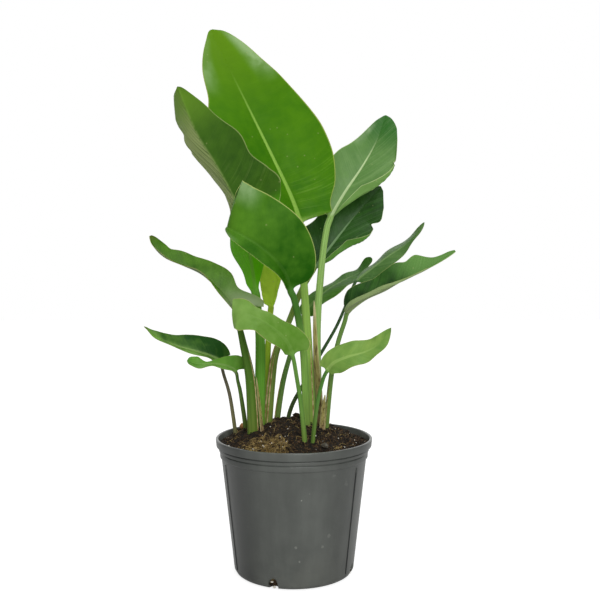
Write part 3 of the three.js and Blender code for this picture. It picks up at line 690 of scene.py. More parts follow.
def make_sheath(sheath, index):
    """A thin curved papery strip with a frayed edge that narrows to a point."""
    x, y = sheath["foot"]
    surface = soil_height(x, y)
    points = [Vector(p) for p in ((x, y, surface - STEM_DEPTH / 2), (x, y, surface - 2), *sheath["line"])]
    face = Vector((*sheath["face"], 0)).normalized()
    side = Vector((-face.y, face.x, 0))
    columns, rows = SHEATH_CELLS
    bm = bmesh.new()
    growth_layer = bm.verts.layers.float_vector.new("growth")
    for vert, column, row in grid_cells(bm, columns, rows):
        along = row / rows
        half = sheath["half"] * math.sqrt(1.002 - along * along)
        across = column / columns * 2 - 1
        fray = 0.16 * abs(across) ** 6 * noise.noise(Vector((along * 22, index * 4.0, across)))
        turn = math.radians(across * 68 * (1 + fray))
        crown = half * 0.7 * (math.cos(turn) - 1)
        pleat = 0.18 * math.sin(across * 26 + 3 * along) * (1 - abs(across) ** 8)
        place = curve_point(points, along) + side * half * math.sin(turn) + face * (crown + pleat - 0.25)
        vert.co = place * MM
        vert[growth_layer] = (across, along, 0.0)
    bmesh.ops.solidify(bm, geom=list(bm.faces), thickness=0.0006)
    merged(bm, 1e-7)
    material = shared_material("papery_fibres", dry_sheath_material)
    return new_piece(sheath["name"] + "_paper", bm, [material], 60.0, [sheath["name"]])


# Pot

def pot_profile(rim, top):
    """Radius and height round the pot's wall section, from the floor's centre outside to inside."""
    inner = body_radius(170) - POT_WALL
    foot = ((0, 0), (FOOT_RADIUS - 6, 0), (FOOT_RADIUS - 1.7, 1.8))
    wall = ((body_radius(6), 6), (body_radius(171), 171))
    low_band = ((110.5, 172.5), (110.9, 179.5), (109.6, 180.5))
    high_band = ((112.2, 182), (112.6, 186), (111.4, 187.2))
    outer_rim = ((rim - 1, 188.6), (rim, top - 1.2), (rim - 1.2, top))
    inner_rim = ((rim - 3.4, top), (rim - 4, top - 1), (rim - 6.5, 186))
    inside = ((inner + 0.4, 174), (inner, 168), (FOOT_RADIUS - POT_WALL - 0.2, 6))
    floor = ((FOOT_RADIUS - 6, 2.6), (0, 2.6))
    return foot + wall + low_band + high_band + outer_rim + inner_rim + inside + floor


def spun(profile, steps):
    """A body turned about the z axis from a profile of radius and height in millimetres."""
    bm = bmesh.new()
    verts = [bm.verts.new((radius * MM, 0, height * MM)) for radius, height in profile]
    edges = [bm.edges.new(pair) for pair in zip(verts, verts[1:])]
    bmesh.ops.spin(bm, geom=verts + edges, cent=(0, 0, 0), axis=(0, 0, 1), dvec=(0, 0, 0),
                   angle=math.tau, steps=steps, use_merge=True, use_duplicate=False)
    merged(bm)
    return bm


def bevelled(bm, edges, offset, clamped=False):
    bmesh.ops.bevel(bm, geom=edges, offset=offset, offset_type="OFFSET", segments=2, profile=0.5,
                    affect="EDGES", material=-1, clamp_overlap=clamped)


def rounded_bends(bm, sharpest, offset):
    """Bevels every edge where the surface bends by more than some degrees."""
    limit = math.radians(sharpest)
    edges = [edge for edge in bm.edges if len(edge.link_faces) == 2 and edge.calc_face_angle() > limit]
    bevelled(bm, edges, offset, clamped=True)


def turned_to(angle):
    return Matrix.Rotation(math.radians(angle - 90), 4, "Z")


def cutter_object(name, bm):
    mesh = bpy.data.meshes.new(name)
    bm.to_mesh(mesh)
    bm.free()
    made = bpy.data.objects.new(name, mesh)
    bpy.context.scene.collection.objects.link(made)
    return made


def apply_boolean(piece, other, operation):
    """Joins or cuts a piece with a helper object, which is then removed."""
    step = piece.modifiers.new(operation.lower(), "BOOLEAN")
    step.operation = operation
    step.solver = "EXACT"
    step.object = other
    graph = bpy.context.evaluated_depsgraph_get()
    solid = bpy.data.meshes.new_from_object(piece.evaluated_get(graph))
    piece.modifiers.clear()
    old = piece.data
    piece.data = solid
    bpy.data.meshes.remove(old)
    bpy.data.meshes.remove(other.data)


def panel_edges():
    """The raised edges of the moulded panels, standing against the wall."""
    slope = math.atan2(BODY_TOP_RADIUS - FOOT_RADIUS, BODY_TOP_HEIGHT)
    bm = bmesh.new()
    for angle in PANEL_EDGE_ANGLES:
        made = bmesh.ops.create_cube(bm, size=1.0)
        verts = made["verts"]
        bmesh.ops.scale(bm, vec=Vector(PANEL_EDGE_SIZE) * MM, verts=verts)
        reach = body_radius(PANEL_EDGE_MIDDLE) + PANEL_EDGE_DEPTH - 1
        place = Vector((0, reach, PANEL_EDGE_MIDDLE)) * MM
        pose = turned_to(angle) @ Matrix.Translation(place) @ Matrix.Rotation(-slope, 4, "X")
        bmesh.ops.transform(bm, matrix=pose, verts=verts)
    rounded_bends(bm, 30, PANEL_EDGE_ROUNDING * MM)
    return bm


def drain_drills():
    """Tilted drills, one for each drain hole, where the wall meets the floor."""
    bm = bmesh.new()
    for angle in DRAIN_HOLE_ANGLES:
        radius = DRAIN_HOLE_RADIUS * MM
        made = bmesh.ops.create_cone(bm, cap_ends=True, segments=32, radius1=radius, radius2=radius,
                                     depth=DRAIN_DRILL_LENGTH * MM)
        tilt = Matrix.Rotation(math.radians(DRAIN_HOLE_TILT - 90), 4, "X")
        pose = turned_to(angle) @ Matrix.Translation((0, FOOT_RADIUS * MM, DRAIN_HOLE_HEIGHT * MM)) @ tilt
        bmesh.ops.transform(bm, matrix=pose, verts=made["verts"])
    return bm


# Potting mix

def make_soil_body(settings):
    """The heap's crumbly surface, with a skirt and a bottom below it."""
    bm = bmesh.new()
    for vert, column, row in grid_cells(bm, SOIL_CELLS, SOIL_CELLS):
        u, v = column / SOIL_CELLS * 2 - 1, row / SOIL_CELLS * 2 - 1
        x = SOIL_RADIUS * u * math.sqrt(1 - v * v / 2)
        y = SOIL_RADIUS * v * math.sqrt(1 - u * u / 2)
        vert.co = Vector((x, y, soil_surface(x, y))) * MM
    # Heights and radii of the sides, from the heap's edge down to the floor of the pot.
    sides = ((172, 106.0), (12, body_radius(12) - POT_WALL - 1), (3, FOOT_RADIUS - 8))
    for height, radius in sides:
        made = bmesh.ops.extrude_edge_only(bm, edges=open_edges(bm))
        for item in made["geom"]:
            if isinstance(item, bmesh.types.BMVert):
                flat = Vector((item.co.x, item.co.y, 0)).normalized() * radius * MM
                item.co = Vector((flat.x, flat.y, height * MM))
    bmesh.ops.holes_fill(bm, edges=open_edges(bm), sides=0)
    merged(bm)
    return new_piece("soil_heap", bm, [soil_material(settings)], 180.0, ["potting_soil"])


def soil_place(rng, centre=(0, 0), spread=SOIL_RADIUS - 3):
    """A random place on the heap, clear of the pot's wall."""
    while True:
        turn = rng.uniform(0, math.tau)
        reach = spread * math.sqrt(rng.random())
        x, y = centre[0] + reach * math.cos(turn), centre[1] + reach * math.sin(turn)
        if math.hypot(x, y) < SOIL_RADIUS - 2.5:
            return x, y


def random_tilt(rng):
    turn = Matrix.Rotation(rng.uniform(0, math.tau), 4, "Z")
    return turn @ Matrix.Rotation(rng.uniform(-0.5, 0.5), 4, "X")


def add_lump(bm, rng, spot, size, shape):
    """One rough lump, given its foot in millimetres."""
    verts = bmesh.ops.create_icosphere(bm, subdivisions=1, radius=0.5)["verts"]
    for vert in verts:
        vert.co *= rng.uniform(0.75, 1.25)
    stretch = Vector([size * MM * part * rng.uniform(0.75, 1.3) for part in shape])
    bmesh.ops.scale(bm, vec=stretch, verts=verts)
    tilt = random_tilt(rng)
    place = Vector(spot) * MM + Vector((0, 0, 0.3 * stretch.z))
    bmesh.ops.transform(bm, matrix=Matrix.Translation(place) @ tilt, verts=verts)


def add_lumps(bm, rng, places, sizes, sink, shape=(1, 1, 0.7)):
    """Small rough lumps lying in the soil surface."""
    for x, y in places:
        add_lump(bm, rng, (x, y, soil_surface(x, y) - sink), rng.uniform(*sizes), shape)


def add_hole_lumps(bm, rng, spots, sizes):
    """Lumps of the mix that show in the drain holes, given by turn, depth and height."""
    for angle in DRAIN_HOLE_ANGLES:
        for turn, depth, height in spots:
            radius = body_radius(height) - depth
            away = math.radians(angle + turn)
            spot = (radius * math.cos(away), radius * math.sin(away), height)
            add_lump(bm, rng, spot, rng.uniform(*sizes), (1, 1, 0.9))


def add_chips(bm, rng, places, lengths):
    """Flat splinters of bark: bevelled, bent slabs."""
    for x, y in places:
        length = rng.uniform(*lengths) * MM
        made = bmesh.ops.create_grid(bm, x_segments=2, y_segments=1, size=0.5)
        verts = made["verts"]
        for vert in verts:
            vert.co.x += rng.uniform(-0.12, 0.12)
            vert.co.y *= rng.uniform(0.5, 1.2) * (1 - abs(vert.co.x))
            vert.co.z = rng.uniform(-0.06, 0.06)
        bmesh.ops.scale(bm, vec=(length, length * rng.uniform(0.35, 0.7), length), verts=verts)
        faces = list({face for vert in verts for face in vert.link_faces})
        slab = bmesh.ops.solidify(bm, geom=faces, thickness=length * 0.16)
        whole = list({vert for face in faces for vert in face.verts}
                     | {item for item in slab["geom"] if isinstance(item, bmesh.types.BMVert)})
        tilt = random_tilt(rng) @ Matrix.Rotation(rng.uniform(-0.35, 0.35), 4, "Y")
        spot = Vector((x, y, soil_surface(x, y) + 0.5)) * MM
        bmesh.ops.transform(bm, matrix=Matrix.Translation(spot) @ tilt, verts=whole)


def add_fibres(bm, rng, places, lengths, radius):
    """Short curved threads of root and coir, three-sided and closed at both ends."""
    for x, y in places:
        length = rng.uniform(*lengths)
        heading = rng.uniform(0, math.tau)
        bend = rng.uniform(-0.9, 0.9)
        lift = rng.uniform(0.2, 2.2)
        rows = 5
        cells = grid_cells(bm, 3, rows)
        for vert, column, row in cells:
            share = row / rows
            way = heading + bend * share
            px = x + (share - 0.5) * length * math.cos(way)
            py = y + (share - 0.5) * length * math.sin(way)
            inside = min(1, (SOIL_RADIUS - 2.5) / max(math.hypot(px, py), 1))
            px, py = px * inside, py * inside
            hump = soil_surface(px, py) + 0.2 + lift * math.sin(math.pi * share)
            turn = math.tau * column / 3
            thick = radius * (1 - 0.6 * abs(share - 0.4))
            across = Vector((-math.sin(way), math.cos(way), 0)) * math.cos(turn) * thick
            vert.co = (Vector((px, py, hump + thick * math.sin(turn))) + across) * MM
        bmesh.ops.remove_doubles(bm, verts=[vert for vert, _, _ in cells], dist=1e-7)
    close_up(bm, bm.verts)
    bmesh.ops.recalc_face_normals(bm, faces=bm.faces)


def bits_piece(name, bm, matter, smooth_angle=20.0):
    """A finished piece of loose matter, which is given by its name and its dark and light colour."""
    merged(bm, 1e-7)
    new_piece(name, bm, [rough_material(*matter)], smooth_angle)


# Shader building

class Wiring:
    """Adds and joins the nodes of one tree."""

    def __init__(self, tree):
        self.tree = tree

    def feed(self, socket, value):
        """Joins a node's output to a socket, or sets the socket to a value or a hex colour."""
        if isinstance(value, bpy.types.NodeSocket):
            self.tree.links.new(value, socket)
        else:
            socket.default_value = tint(value) if isinstance(value, str) else value

    def node(self, kind, inputs=None, **settings):
        made = self.tree.nodes.new("ShaderNode" + kind)
        for name, value in settings.items():
            setattr(made, name, value)
        for name, value in (inputs or {}).items():
            self.feed(made.inputs[name], value)
        return made

    def math(self, operation, *values, clamp=False):
        made = self.node("Math", operation=operation, use_clamp=clamp)
        for socket, value in zip(made.inputs, values):
            self.feed(socket, value)
        return made.outputs[0]

    def times(self, product, *factors):
        for factor in factors:
            product = self.math("MULTIPLY", product, factor)
        return product

    def mix(self, share, first, second):
        made = self.node("Mix", data_type="RGBA", blend_type="MIX")
        for number, value in ((0, share), (6, first), (7, second)):
            self.feed(made.inputs[number], value)
        return made.outputs[2]

    def span(self, value, low, high, to_low=0.0, to_high=1.0, kind="SMOOTHSTEP"):
        names = ("Value", "From Min", "From Max", "To Min", "To Max")
        made = self.node("MapRange", interpolation_type=kind)
        for name, part in zip(names, (value, low, high, to_low, to_high)):
            self.feed(made.inputs[name], part)
        return made.outputs[0]

    def vector(self, x, y, z):
        return self.node("CombineXYZ", {"X": x, "Y": y, "Z": z}).outputs[0]

    def parts(self, vector):
        return self.node("SeparateXYZ", {"Vector": vector}).outputs

    def noise(self, vector, scale, detail=2.0, rough=0.5):
        inputs = {"Vector": vector, "Scale": scale, "Detail": detail, "Roughness": rough}
        return self.node("TexNoise", inputs).outputs["Fac"]

    def place(self):
        return self.node("TexCoord").outputs["Object"]

    def attribute(self, name):
        return self.node("Attribute", attribute_name=name).outputs["Vector"]

    def group(self, tree, inputs):
        made = self.tree.nodes.new("ShaderNodeGroup")
        made.node_tree = tree
        for name, value in inputs.items():
            self.feed(made.inputs[name], value)
        return made.outputs


def shader_group(name, build, outputs, **inputs):
    """A node group that puts out values, built once. An input with no default is a vector."""
    tree = bpy.data.node_groups.get(name)
    if tree:
        return tree
    tree = bpy.data.node_groups.new(name, "ShaderNodeTree")
    for socket, default in inputs.items():
        kind = "NodeSocketVector" if default is None else "NodeSocketFloat"
        made = tree.interface.new_socket(socket, in_out="INPUT", socket_type=kind)
        if default is not None:
            made.default_value = default
    for socket in outputs:
        tree.interface.new_socket(socket, in_out="OUTPUT", socket_type="NodeSocketFloat")
    wiring = Wiring(tree)
    given = tree.nodes.new("NodeGroupInput").outputs
    wanted = tree.nodes.new("NodeGroupOutput").inputs
    for socket, value in build(wiring, given).items():
        wiring.feed(wanted[socket], value)
    return tree


def build_side_veins(w, given):
    """Bands that leave the midrib almost square and lean forward toward the edge."""
    away = w.math("ABSOLUTE", given["Across"])
    sweep = w.times(away, w.math("MULTIPLY_ADD", away, 2.0, given["Lean"]))
    along = w.math("SUBTRACT", given["Along"], sweep)
    side = w.math("MULTIPLY_ADD", w.math("SIGN", given["Across"]), 7.3, given["Seed"])
    out = {}
    for name, width, drift in (("Fine", 1.0, 14.0), ("Broad", 5.0, 8.0)):
        step = w.math("DIVIDE", along, w.times(given["Spacing"], width))
        bands = w.vector(step, side, w.times(away, drift))
        out[name] = w.noise(bands, 1.0, 1.0)
    ridge = w.span(out["Fine"], 0.35, 0.7)
    out["Height"] = w.math("MULTIPLY_ADD", out["Broad"], 0.9, w.times(ridge, 0.45))
    return out


def side_veins():
    outputs = ("Fine", "Broad", "Height")
    inputs = {"Along": 0.0, "Across": 0.0, "Lean": 0.3, "Seed": 0.0, "Spacing": 0.0022}
    return shader_group("side_veins", build_side_veins, outputs, **inputs)


def build_specks(w, given):
    """Scattered small marks: a mask that is 1 on a few of the cells."""
    cells = w.node("TexVoronoi", {"Vector": given["Vector"], "Scale": given["Scale"]})
    spot = w.span(cells.outputs["Distance"], 0.12, 0.3, 1.0, 0.0)
    chance = w.parts(cells.outputs["Color"])["X"]
    few = w.math("LESS_THAN", chance, given["Share"])
    return {"Mask": w.times(spot, few)}


def specks():
    return shader_group("specks", build_specks, ("Mask",), Vector=None, Scale=100.0, Share=0.1)


def build_mottle(w, given):
    """Soft uneven patches of two sizes."""
    large = w.noise(given["Vector"], given["Scale"], 2.0)
    small = w.noise(given["Vector"], w.times(given["Scale"], 5.0), 3.0)
    return {"Value": w.math("MULTIPLY_ADD", small, 0.4, w.times(large, 0.6))}


def mottle():
    return shader_group("mottle", build_mottle, ("Value",), Vector=None, Scale=12.0)


def shared_material(name, build):
    return bpy.data.materials.get(name) or build(name)


def blank_material(name, roughness, specular=0.5):
    material = bpy.data.materials.new(name)
    material.use_nodes = True
    shader = material.node_tree.nodes["Principled BSDF"]
    shader.inputs["Roughness"].default_value = roughness
    shader.inputs["Specular IOR Level"].default_value = specular
    return material, Wiring(material.node_tree), shader.inputs


def bump(w, height, distance, strength=1.0):
    inputs = {"Height": height, "Distance": distance, "Strength": strength}
    return w.node("Bump", inputs).outputs["Normal"]


def leaf_material(leaf, index, settings):
    """Waxy leaf: veined blade, pale midrib, thin edge, dull paler underside and ribbed stem, with painted
    sheen, painted light at the base and painted shade under the blade on some leaves.
    """
    material, w, shader = blank_material(leaf["name"], settings.gloss, leaf["shine"])
    deep, bright, rib, under, edge, stem = (tint(code) for code in leaf["colours"])
    across, along, out = w.parts(w.attribute("growth"))
    blade_share, below, blade = w.parts(w.attribute("tissue"))
    place = w.place()
    seed = index * 5.3
    lean = w.span(across, -0.001, 0.001, *leaf["lean"])
    given = {"Along": along, "Across": across, "Lean": lean, "Seed": seed, "Spacing": settings.vein_spacing}
    veins = w.group(side_veins(), given)
    patches = w.group(mottle(), {"Vector": place, "Scale": 14.0})["Value"]
    away = w.math("ABSOLUTE", across)

    left, right, base, tip = leaf["tones"]
    half_shift = w.span(across, -0.006, 0.006, left, right, "LINEAR")
    end_shift = w.span(blade, 0.05, 0.95, base, tip)
    strength = w.span(across, -0.002, 0.002, *leaf["veins"])
    bands = w.times(w.math("SUBTRACT", veins["Broad"], 0.5), 1.4)
    tone = w.math("MULTIPLY_ADD", bands, strength, 0.5)
    tone = w.math("MULTIPLY_ADD", w.math("SUBTRACT", patches, 0.5), 2.2, tone)
    if "pleats" in leaf:
        side_left, side_right, middle, spread = leaf["pleats"]
        along_blade = w.math("ABSOLUTE", w.math("SUBTRACT", blade, middle))
        pleat = w.times(
            w.span(along_blade, 0.0, spread, 1.0, 0.0),
            w.span(away, 0.002, 0.012),
            w.span(across, -0.002, 0.002, side_left, side_right),
        )
        strength = w.math("ADD", strength, pleat)
        tone = w.math("MULTIPLY_ADD", bands, pleat, tone)
    tone = w.math("ADD", w.math("ADD", tone, half_shift), end_shift, clamp=True)
    colour = w.mix(tone, deep, bright)
    # Painted sheen: the underside's pale colour laid over a half's upper face, broken by the broad veins.
    if "pale" in leaf:
        share = w.span(across, -0.004, 0.004, *leaf["pale"])
        line = w.span(w.math("ABSOLUTE", w.math("SUBTRACT", veins["Broad"], 0.5)), 0.0, 0.05, 0.7, 0.0)
        colour = w.mix(share, colour, w.mix(line, under, deep))
    # Painted light: a bright glow on the blade's base that fades toward the tip.
    if "glow" in leaf:
        sunlit, near, far = leaf["glow"]
        colour = w.mix(w.span(blade, near, far, 0.9, 0.0), colour, sunlit)
    if "tipped" in leaf:
        tip_colour, near, far = leaf["tipped"]
        colour = w.mix(w.span(blade, near, far, 0.0, 0.85), colour, tip_colour)
    # Painted sheen: a pale band near the edge over part of the blade, standing in for reflected light.
    if "painted_sheen" in leaf:
        start, end, side_left, side_right = leaf["painted_sheen"]
        sheen_highlight = w.times(
            w.span(out, 0.45, 0.9),
            w.span(blade, start, start + 0.12),
            w.span(blade, end - 0.08, end, 1.0, 0.0),
            w.span(across, -0.004, 0.004, side_left, side_right),
            w.span(patches, 0.38, 0.56, 0.4, 1.0),
        )
        colour = w.mix(sheen_highlight, colour, "#a9c694")
    vein_mask = w.times(w.span(veins["Fine"], 0.5, 0.75, 0.0, 0.18), strength)
    colour = w.mix(vein_mask, colour, rib)
    rib_edge = w.span(blade, 0.0, 0.95, leaf["rib_width"] * MM, 0.0008, "LINEAR")
    rib_mask = w.math("SUBTRACT", 1.0, w.span(away, w.times(rib_edge, 0.55), rib_edge))
    rib_mask = w.times(rib_mask, w.span(blade, 0.5, 0.85, leaf["midrib"], 0.0))
    colour = w.mix(rib_mask, colour, rib)
    colour = w.mix(w.times(below, 0.8), colour, under)
    edge_mask = w.times(w.span(out, 0.975, 0.99), 0.85)
    colour = w.mix(edge_mask, colour, edge)

    grain = w.vector(w.times(across, 900.0), w.times(along, 14.0), seed)
    streaks = w.noise(grain, 1.0, 3.0)
    stem_deep = tuple(part * 0.72 for part in stem[:3]) + (1.0,)
    stem_colour = w.mix(w.span(streaks, 0.3, 0.7), stem_deep, stem)
    height = w.parts(place)["Z"]
    low = w.times(w.span(height, 0.2, 0.29, 1.0, 0.0), w.span(streaks, 0.25, 0.75, 0.25, 0.9))
    stem_colour = w.mix(w.times(low, 0.5), stem_colour, "#8f9048")
    # Painted shade: the stem darkens just under the blade.
    if "neck_shade" in leaf:
        stem_colour = w.mix(w.span(along, -0.11, -0.03, 0.0, 0.8), stem_colour, leaf["neck_shade"])
    if "husk" in leaf:
        low_end, high_end, near, far = leaf["husk"]
        clad = w.times(
            w.span(height, high_end - 0.05, high_end, 1.0, 0.0),
            w.span(height, low_end, low_end + 0.03),
            w.span(across, near, far, 1.0, 0.0),
        )
        husk = w.mix(w.span(streaks, 0.35, 0.65), "#7d6a38", "#c2b47c")
        stem_colour = w.mix(clad, stem_colour, husk)
    colour = w.mix(blade_share, stem_colour, colour)
    spots = w.group(specks(), {"Vector": place, "Scale": 190.0, "Share": 0.03})["Mask"]
    colour = w.mix(w.times(spots, 0.35), colour, "#a9b074")
    w.feed(shader["Base Color"], colour)

    rough = w.span(w.noise(place, 60.0, 3.0), 0.3, 0.7, settings.gloss - 0.05, settings.gloss + 0.09)
    rough = w.math("MULTIPLY_ADD", below, 0.14, rough)
    w.feed(shader["Roughness"], rough)
    stem_height = w.times(streaks, 0.5)
    vein_height = w.times(veins["Height"], strength)
    relief = w.times(vein_height, blade_share)
    relief = w.math("MULTIPLY_ADD", w.math("SUBTRACT", 1.0, blade_share), stem_height, relief)
    pores = w.times(w.noise(place, 900.0, 2.0), 0.1)
    w.feed(shader["Normal"], bump(w, w.math("ADD", relief, pores), settings.vein_relief, 0.8))
    return material


def dry_edge_material(name):
    material, w, shader = blank_material(name, 0.7, 0.3)
    place = w.place()
    wear = w.noise(place, 160.0, 4.0)
    colour = w.mix(w.span(wear, 0.35, 0.65), "#98774a", "#d3bd8c")
    w.feed(shader["Base Color"], colour)
    w.feed(shader["Roughness"], w.span(wear, 0.3, 0.7, 0.6, 0.8))
    w.feed(shader["Normal"], bump(w, w.noise(place, 700.0, 3.0), 0.0003))
    return material


def dry_sheath_material(name):
    """Papery strip with fibres along it: brown at the foot, straw above, paler at its edges."""
    material, w, shader = blank_material(name, 0.75, 0.3)
    across, along, _ = w.parts(w.attribute("growth"))
    grain = w.vector(w.times(across, 7.0), w.times(along, 9.0), 1.0)
    fibres = w.noise(grain, 2.2, 5.0, 0.7)
    stretched = w.vector(w.times(across, 1.3), w.times(along, 8.0), 5.0)
    patches = w.noise(stretched, 1.6, 3.0)
    thread = w.span(fibres, 0.35, 0.65)
    foot = w.mix(thread, "#6b5238", "#b3946c")
    straw = w.mix(thread, "#7f7434", "#bdb470")
    colour = w.mix(w.span(along, 0.3, 0.6), foot, straw)
    edge = w.span(w.math("ABSOLUTE", across), 0.5, 0.9)
    rot = w.math("MULTIPLY", w.span(patches, 0.5, 0.62), w.math("SUBTRACT", 0.75, edge), clamp=True)
    colour = w.mix(rot, colour, "#43301a")
    pale = w.math("MAXIMUM", w.span(along, 0.85, 0.98), w.times(edge, 0.6))
    colour = w.mix(pale, colour, "#d6cd9c")
    w.feed(shader["Base Color"], colour)
    w.feed(shader["Roughness"], w.span(fibres, 0.3, 0.7, 0.6, 0.85))
    w.feed(shader["Normal"], bump(w, fibres, 0.0006))
    return material


def pot_material(settings):
    """Moulded plastic, dull with a fine grain, dusty low down and scuffed in places, with painted shade and
    painted reflections beside the panel edges and painted shade on both sides of the front.
    """
    material, w, shader = blank_material("moulded_plastic", settings.roughness)
    shader["Coat Weight"].default_value = 0.35
    shader["Coat Roughness"].default_value = 0.2
    base = (*settings.colour, 1.0)
    place = w.place()
    x, y, height = w.parts(place)
    flow = w.node("Mapping", {"Vector": place, "Scale": (1.0, 1.0, 0.12)}).outputs[0]
    streaks = w.noise(flow, 55.0, 3.0)
    cloud = w.group(mottle(), {"Vector": place, "Scale": 9.0})["Value"]
    light = tuple(min(part * 1.5 + 0.01, 1) for part in base[:3]) + (1.0,)
    tone = w.math("MULTIPLY_ADD", streaks, 0.45, w.times(cloud, 0.7))
    colour = w.mix(w.span(tone, 0.42, 0.78, 0.0, 0.6), base, light)
    dust = w.times(w.span(height, 0.09, 0.0), w.span(cloud, 0.4, 0.62, 0.0, 0.1))
    colour = w.mix(dust, colour, "#8b8a7c")
    turn = w.math("ARCTAN2", x, w.times(y, -1.0))
    girth = w.times(turn, POT_HIGH.x)
    wall = w.vector(girth, height, 0.0)
    below_bands = w.span(height, 0.158, 0.162, 1.0, 0.0)
    for angle in PANEL_EDGE_ANGLES:
        corner = math.radians((angle + 270) % 360 - 180) * POT_HIGH.x
        inward = math.copysign(1, corner)
        beyond = w.times(w.math("SUBTRACT", girth, corner), inward)
        # Painted shade: a dark line just inside each raised panel edge.
        groove = w.span(w.math("ABSOLUTE", w.math("ADD", beyond, 0.0022)), 0.0008, 0.0024, 0.75, 0.0)
        colour = w.mix(w.times(groove, below_bands), colour, "#17191a")
        # Painted reflection: a pale strip just outside each panel edge.
        strip = w.times(w.span(beyond, 0.0, 0.002), w.span(beyond, 0.012, 0.03, 1.0, 0.0))
        colour = w.mix(w.times(strip, below_bands, 0.35), colour, light)
    ragged = w.times(w.noise(place, 420.0, 3.0), 0.0032)
    marks = w.times(w.span(w.noise(place, 60.0, 4.0), 0.68, 0.76), 0.15)
    for angle, level, size, strength in SCUFFS:
        centre = Vector((math.radians(angle) * POT_HIGH.x, level * MM, 0))
        apart = w.node("VectorMath", {0: wall, 1: centre}, operation="DISTANCE").outputs["Value"]
        reach = w.math("ADD", apart, ragged)
        spot = w.span(reach, size * 0.6 * MM + 0.0016, size * MM + 0.0016, strength, 0.0)
        marks = w.math("MAXIMUM", marks, spot)
    colour = w.mix(marks, colour, "#a2a49c")
    # Left and right of the front the wall is painted darker: painted shade where the sides reflect a dim
    # room.
    for side, strength in ((-1, 0.5), (1, 0.28)):
        turned = w.times(turn, side)
        side_shade = w.times(w.span(turned, 1.35, 1.0), w.span(turned, 0.4, 0.75, 0.0, strength))
        colour = w.mix(side_shade, colour, "#1c1f1d")
    w.feed(shader["Base Color"], colour)
    rough = w.math("MULTIPLY_ADD", cloud, 0.16, settings.roughness - 0.08)
    w.feed(shader["Roughness"], w.math("MULTIPLY_ADD", marks, 0.3, rough, clamp=True))
    grain = w.math("MULTIPLY_ADD", w.noise(place, 1100.0, 2.0), 0.35, w.times(streaks, 0.6))
    w.feed(shader["Normal"], bump(w, grain, 0.00025, 0.6))
    return material


def soil_material(settings):
    """Damp peat with reddish bark dust and a lighter patch of coir at the front."""
    material, w, shader = blank_material("peat", 0.9, 0.3)
    place = w.place()
    grains = w.node("TexVoronoi", {"Vector": place, "Scale": 520.0}).outputs
    crumbs = w.noise(place, 190.0, 5.0, 0.65)
    dark = (*settings.colour, 1.0)
    colour = w.mix(w.span(crumbs, 0.42, 0.66), dark, "#3b2c1c")
    chance = w.parts(grains["Color"])["X"]
    colour = w.mix(w.times(w.math("GREATER_THAN", chance, 0.86), 0.5), colour, "#6b5231")
    colour = w.mix(w.times(w.math("LESS_THAN", chance, 0.16), 0.7), colour, "#100d08")
    x, y, _ = w.parts(place)
    away = [
        w.math("DIVIDE", w.math("ADD", place_part, -centre * MM), half * MM)
        for place_part, centre, half in zip((x, y), COIR_PATCH[0], COIR_STAIN)
    ]
    spread = w.math("ADD", *(w.times(part, part) for part in away))
    patch = w.times(w.span(spread, 0.4, 1.3, 1.0, 0.0), w.span(crumbs, 0.35, 0.6, 0.2, 0.8))
    colour = w.mix(patch, colour, "#6e5828")
    w.feed(shader["Base Color"], colour)
    w.feed(shader["Roughness"], w.span(crumbs, 0.3, 0.7, 0.8, 0.98))
    height = w.math("MULTIPLY_ADD", grains["Distance"], -0.6, crumbs)
    w.feed(shader["Normal"], bump(w, height, 0.0018))
    return material


def rough_material(name, dark, light, scale=260.0, roughness=0.85, relief=0.0006):
    """Uneven dull matter between two colours, each grain with its own tone."""
    material, w, shader = blank_material(name, roughness, 0.3)
    place = w.place()
    clumps = w.node("TexVoronoi", {"Vector": place, "Scale": scale * 0.5}).outputs["Color"]
    own_tone = w.times(w.parts(clumps)["X"], 0.4)
    tone = w.math("MULTIPLY_ADD", w.noise(place, scale, 4.0), 0.6, own_tone)
    w.feed(shader["Base Color"], w.mix(w.span(tone, 0.25, 0.75), dark, light))
    w.feed(shader["Roughness"], w.span(tone, 0.2, 0.8, roughness - 0.1, roughness + 0.08))
    w.feed(shader["Normal"], bump(w, w.noise(place, scale * 2.5, 3.0), relief))
    return material


# Settings

def colour_setting(name, description, default):
    return FloatVectorProperty(
        name=name, description=description, default=default, min=0.0, max=1.0, size=3, subtype="COLOR",
    )


def length_setting(name, description, default, least, most):
    return FloatProperty(
        name=name, description=description, default=default, min=least, max=most,
        subtype="DISTANCE", unit="LENGTH",
    )


def roughness_setting(name, description, default):
    return FloatProperty(
        name=name, description=description, default=default, min=0.1, max=0.9, subtype="FACTOR",
    )


def count_setting(name, description, default, most):
    return IntProperty(name=name, description=description, default=default, min=0, max=most)


def power_setting(name, description, default):
    return FloatProperty(name=name, description=description, default=default, min=0.0, unit="POWER")


class PotSettings(PropertyGroup):
    rim_radius: length_setting("Rim radius", "Outer radius of the pot's rim", POT_HIGH.x, 0.05, 0.5)
    height: length_setting("Height", "Height of the pot", POT_HIGH.z, 0.05, 0.5)
    colour: colour_setting("Plastic colour", "Colour of the moulded plastic", (0.084, 0.091, 0.081))
    roughness: roughness_setting("Plastic roughness", "How dull the plastic is", 0.38)


class SoilSettings(PropertyGroup):
    colour: colour_setting("Peat colour", "Darkest colour of the potting mix", (0.0095, 0.0075, 0.0045))
    crumbs: count_setting("Crumbs", "Number of loose crumbs on the heap", 1500, 3000)
    bark: count_setting("Bark splinters", "Number of flat pieces of bark", 420, 1000)
    perlite: count_setting("Perlite grains", "Number of white grains", 70, 400)
    fibres: count_setting("Fibres", "Number of root and coir threads", 420, 1500)


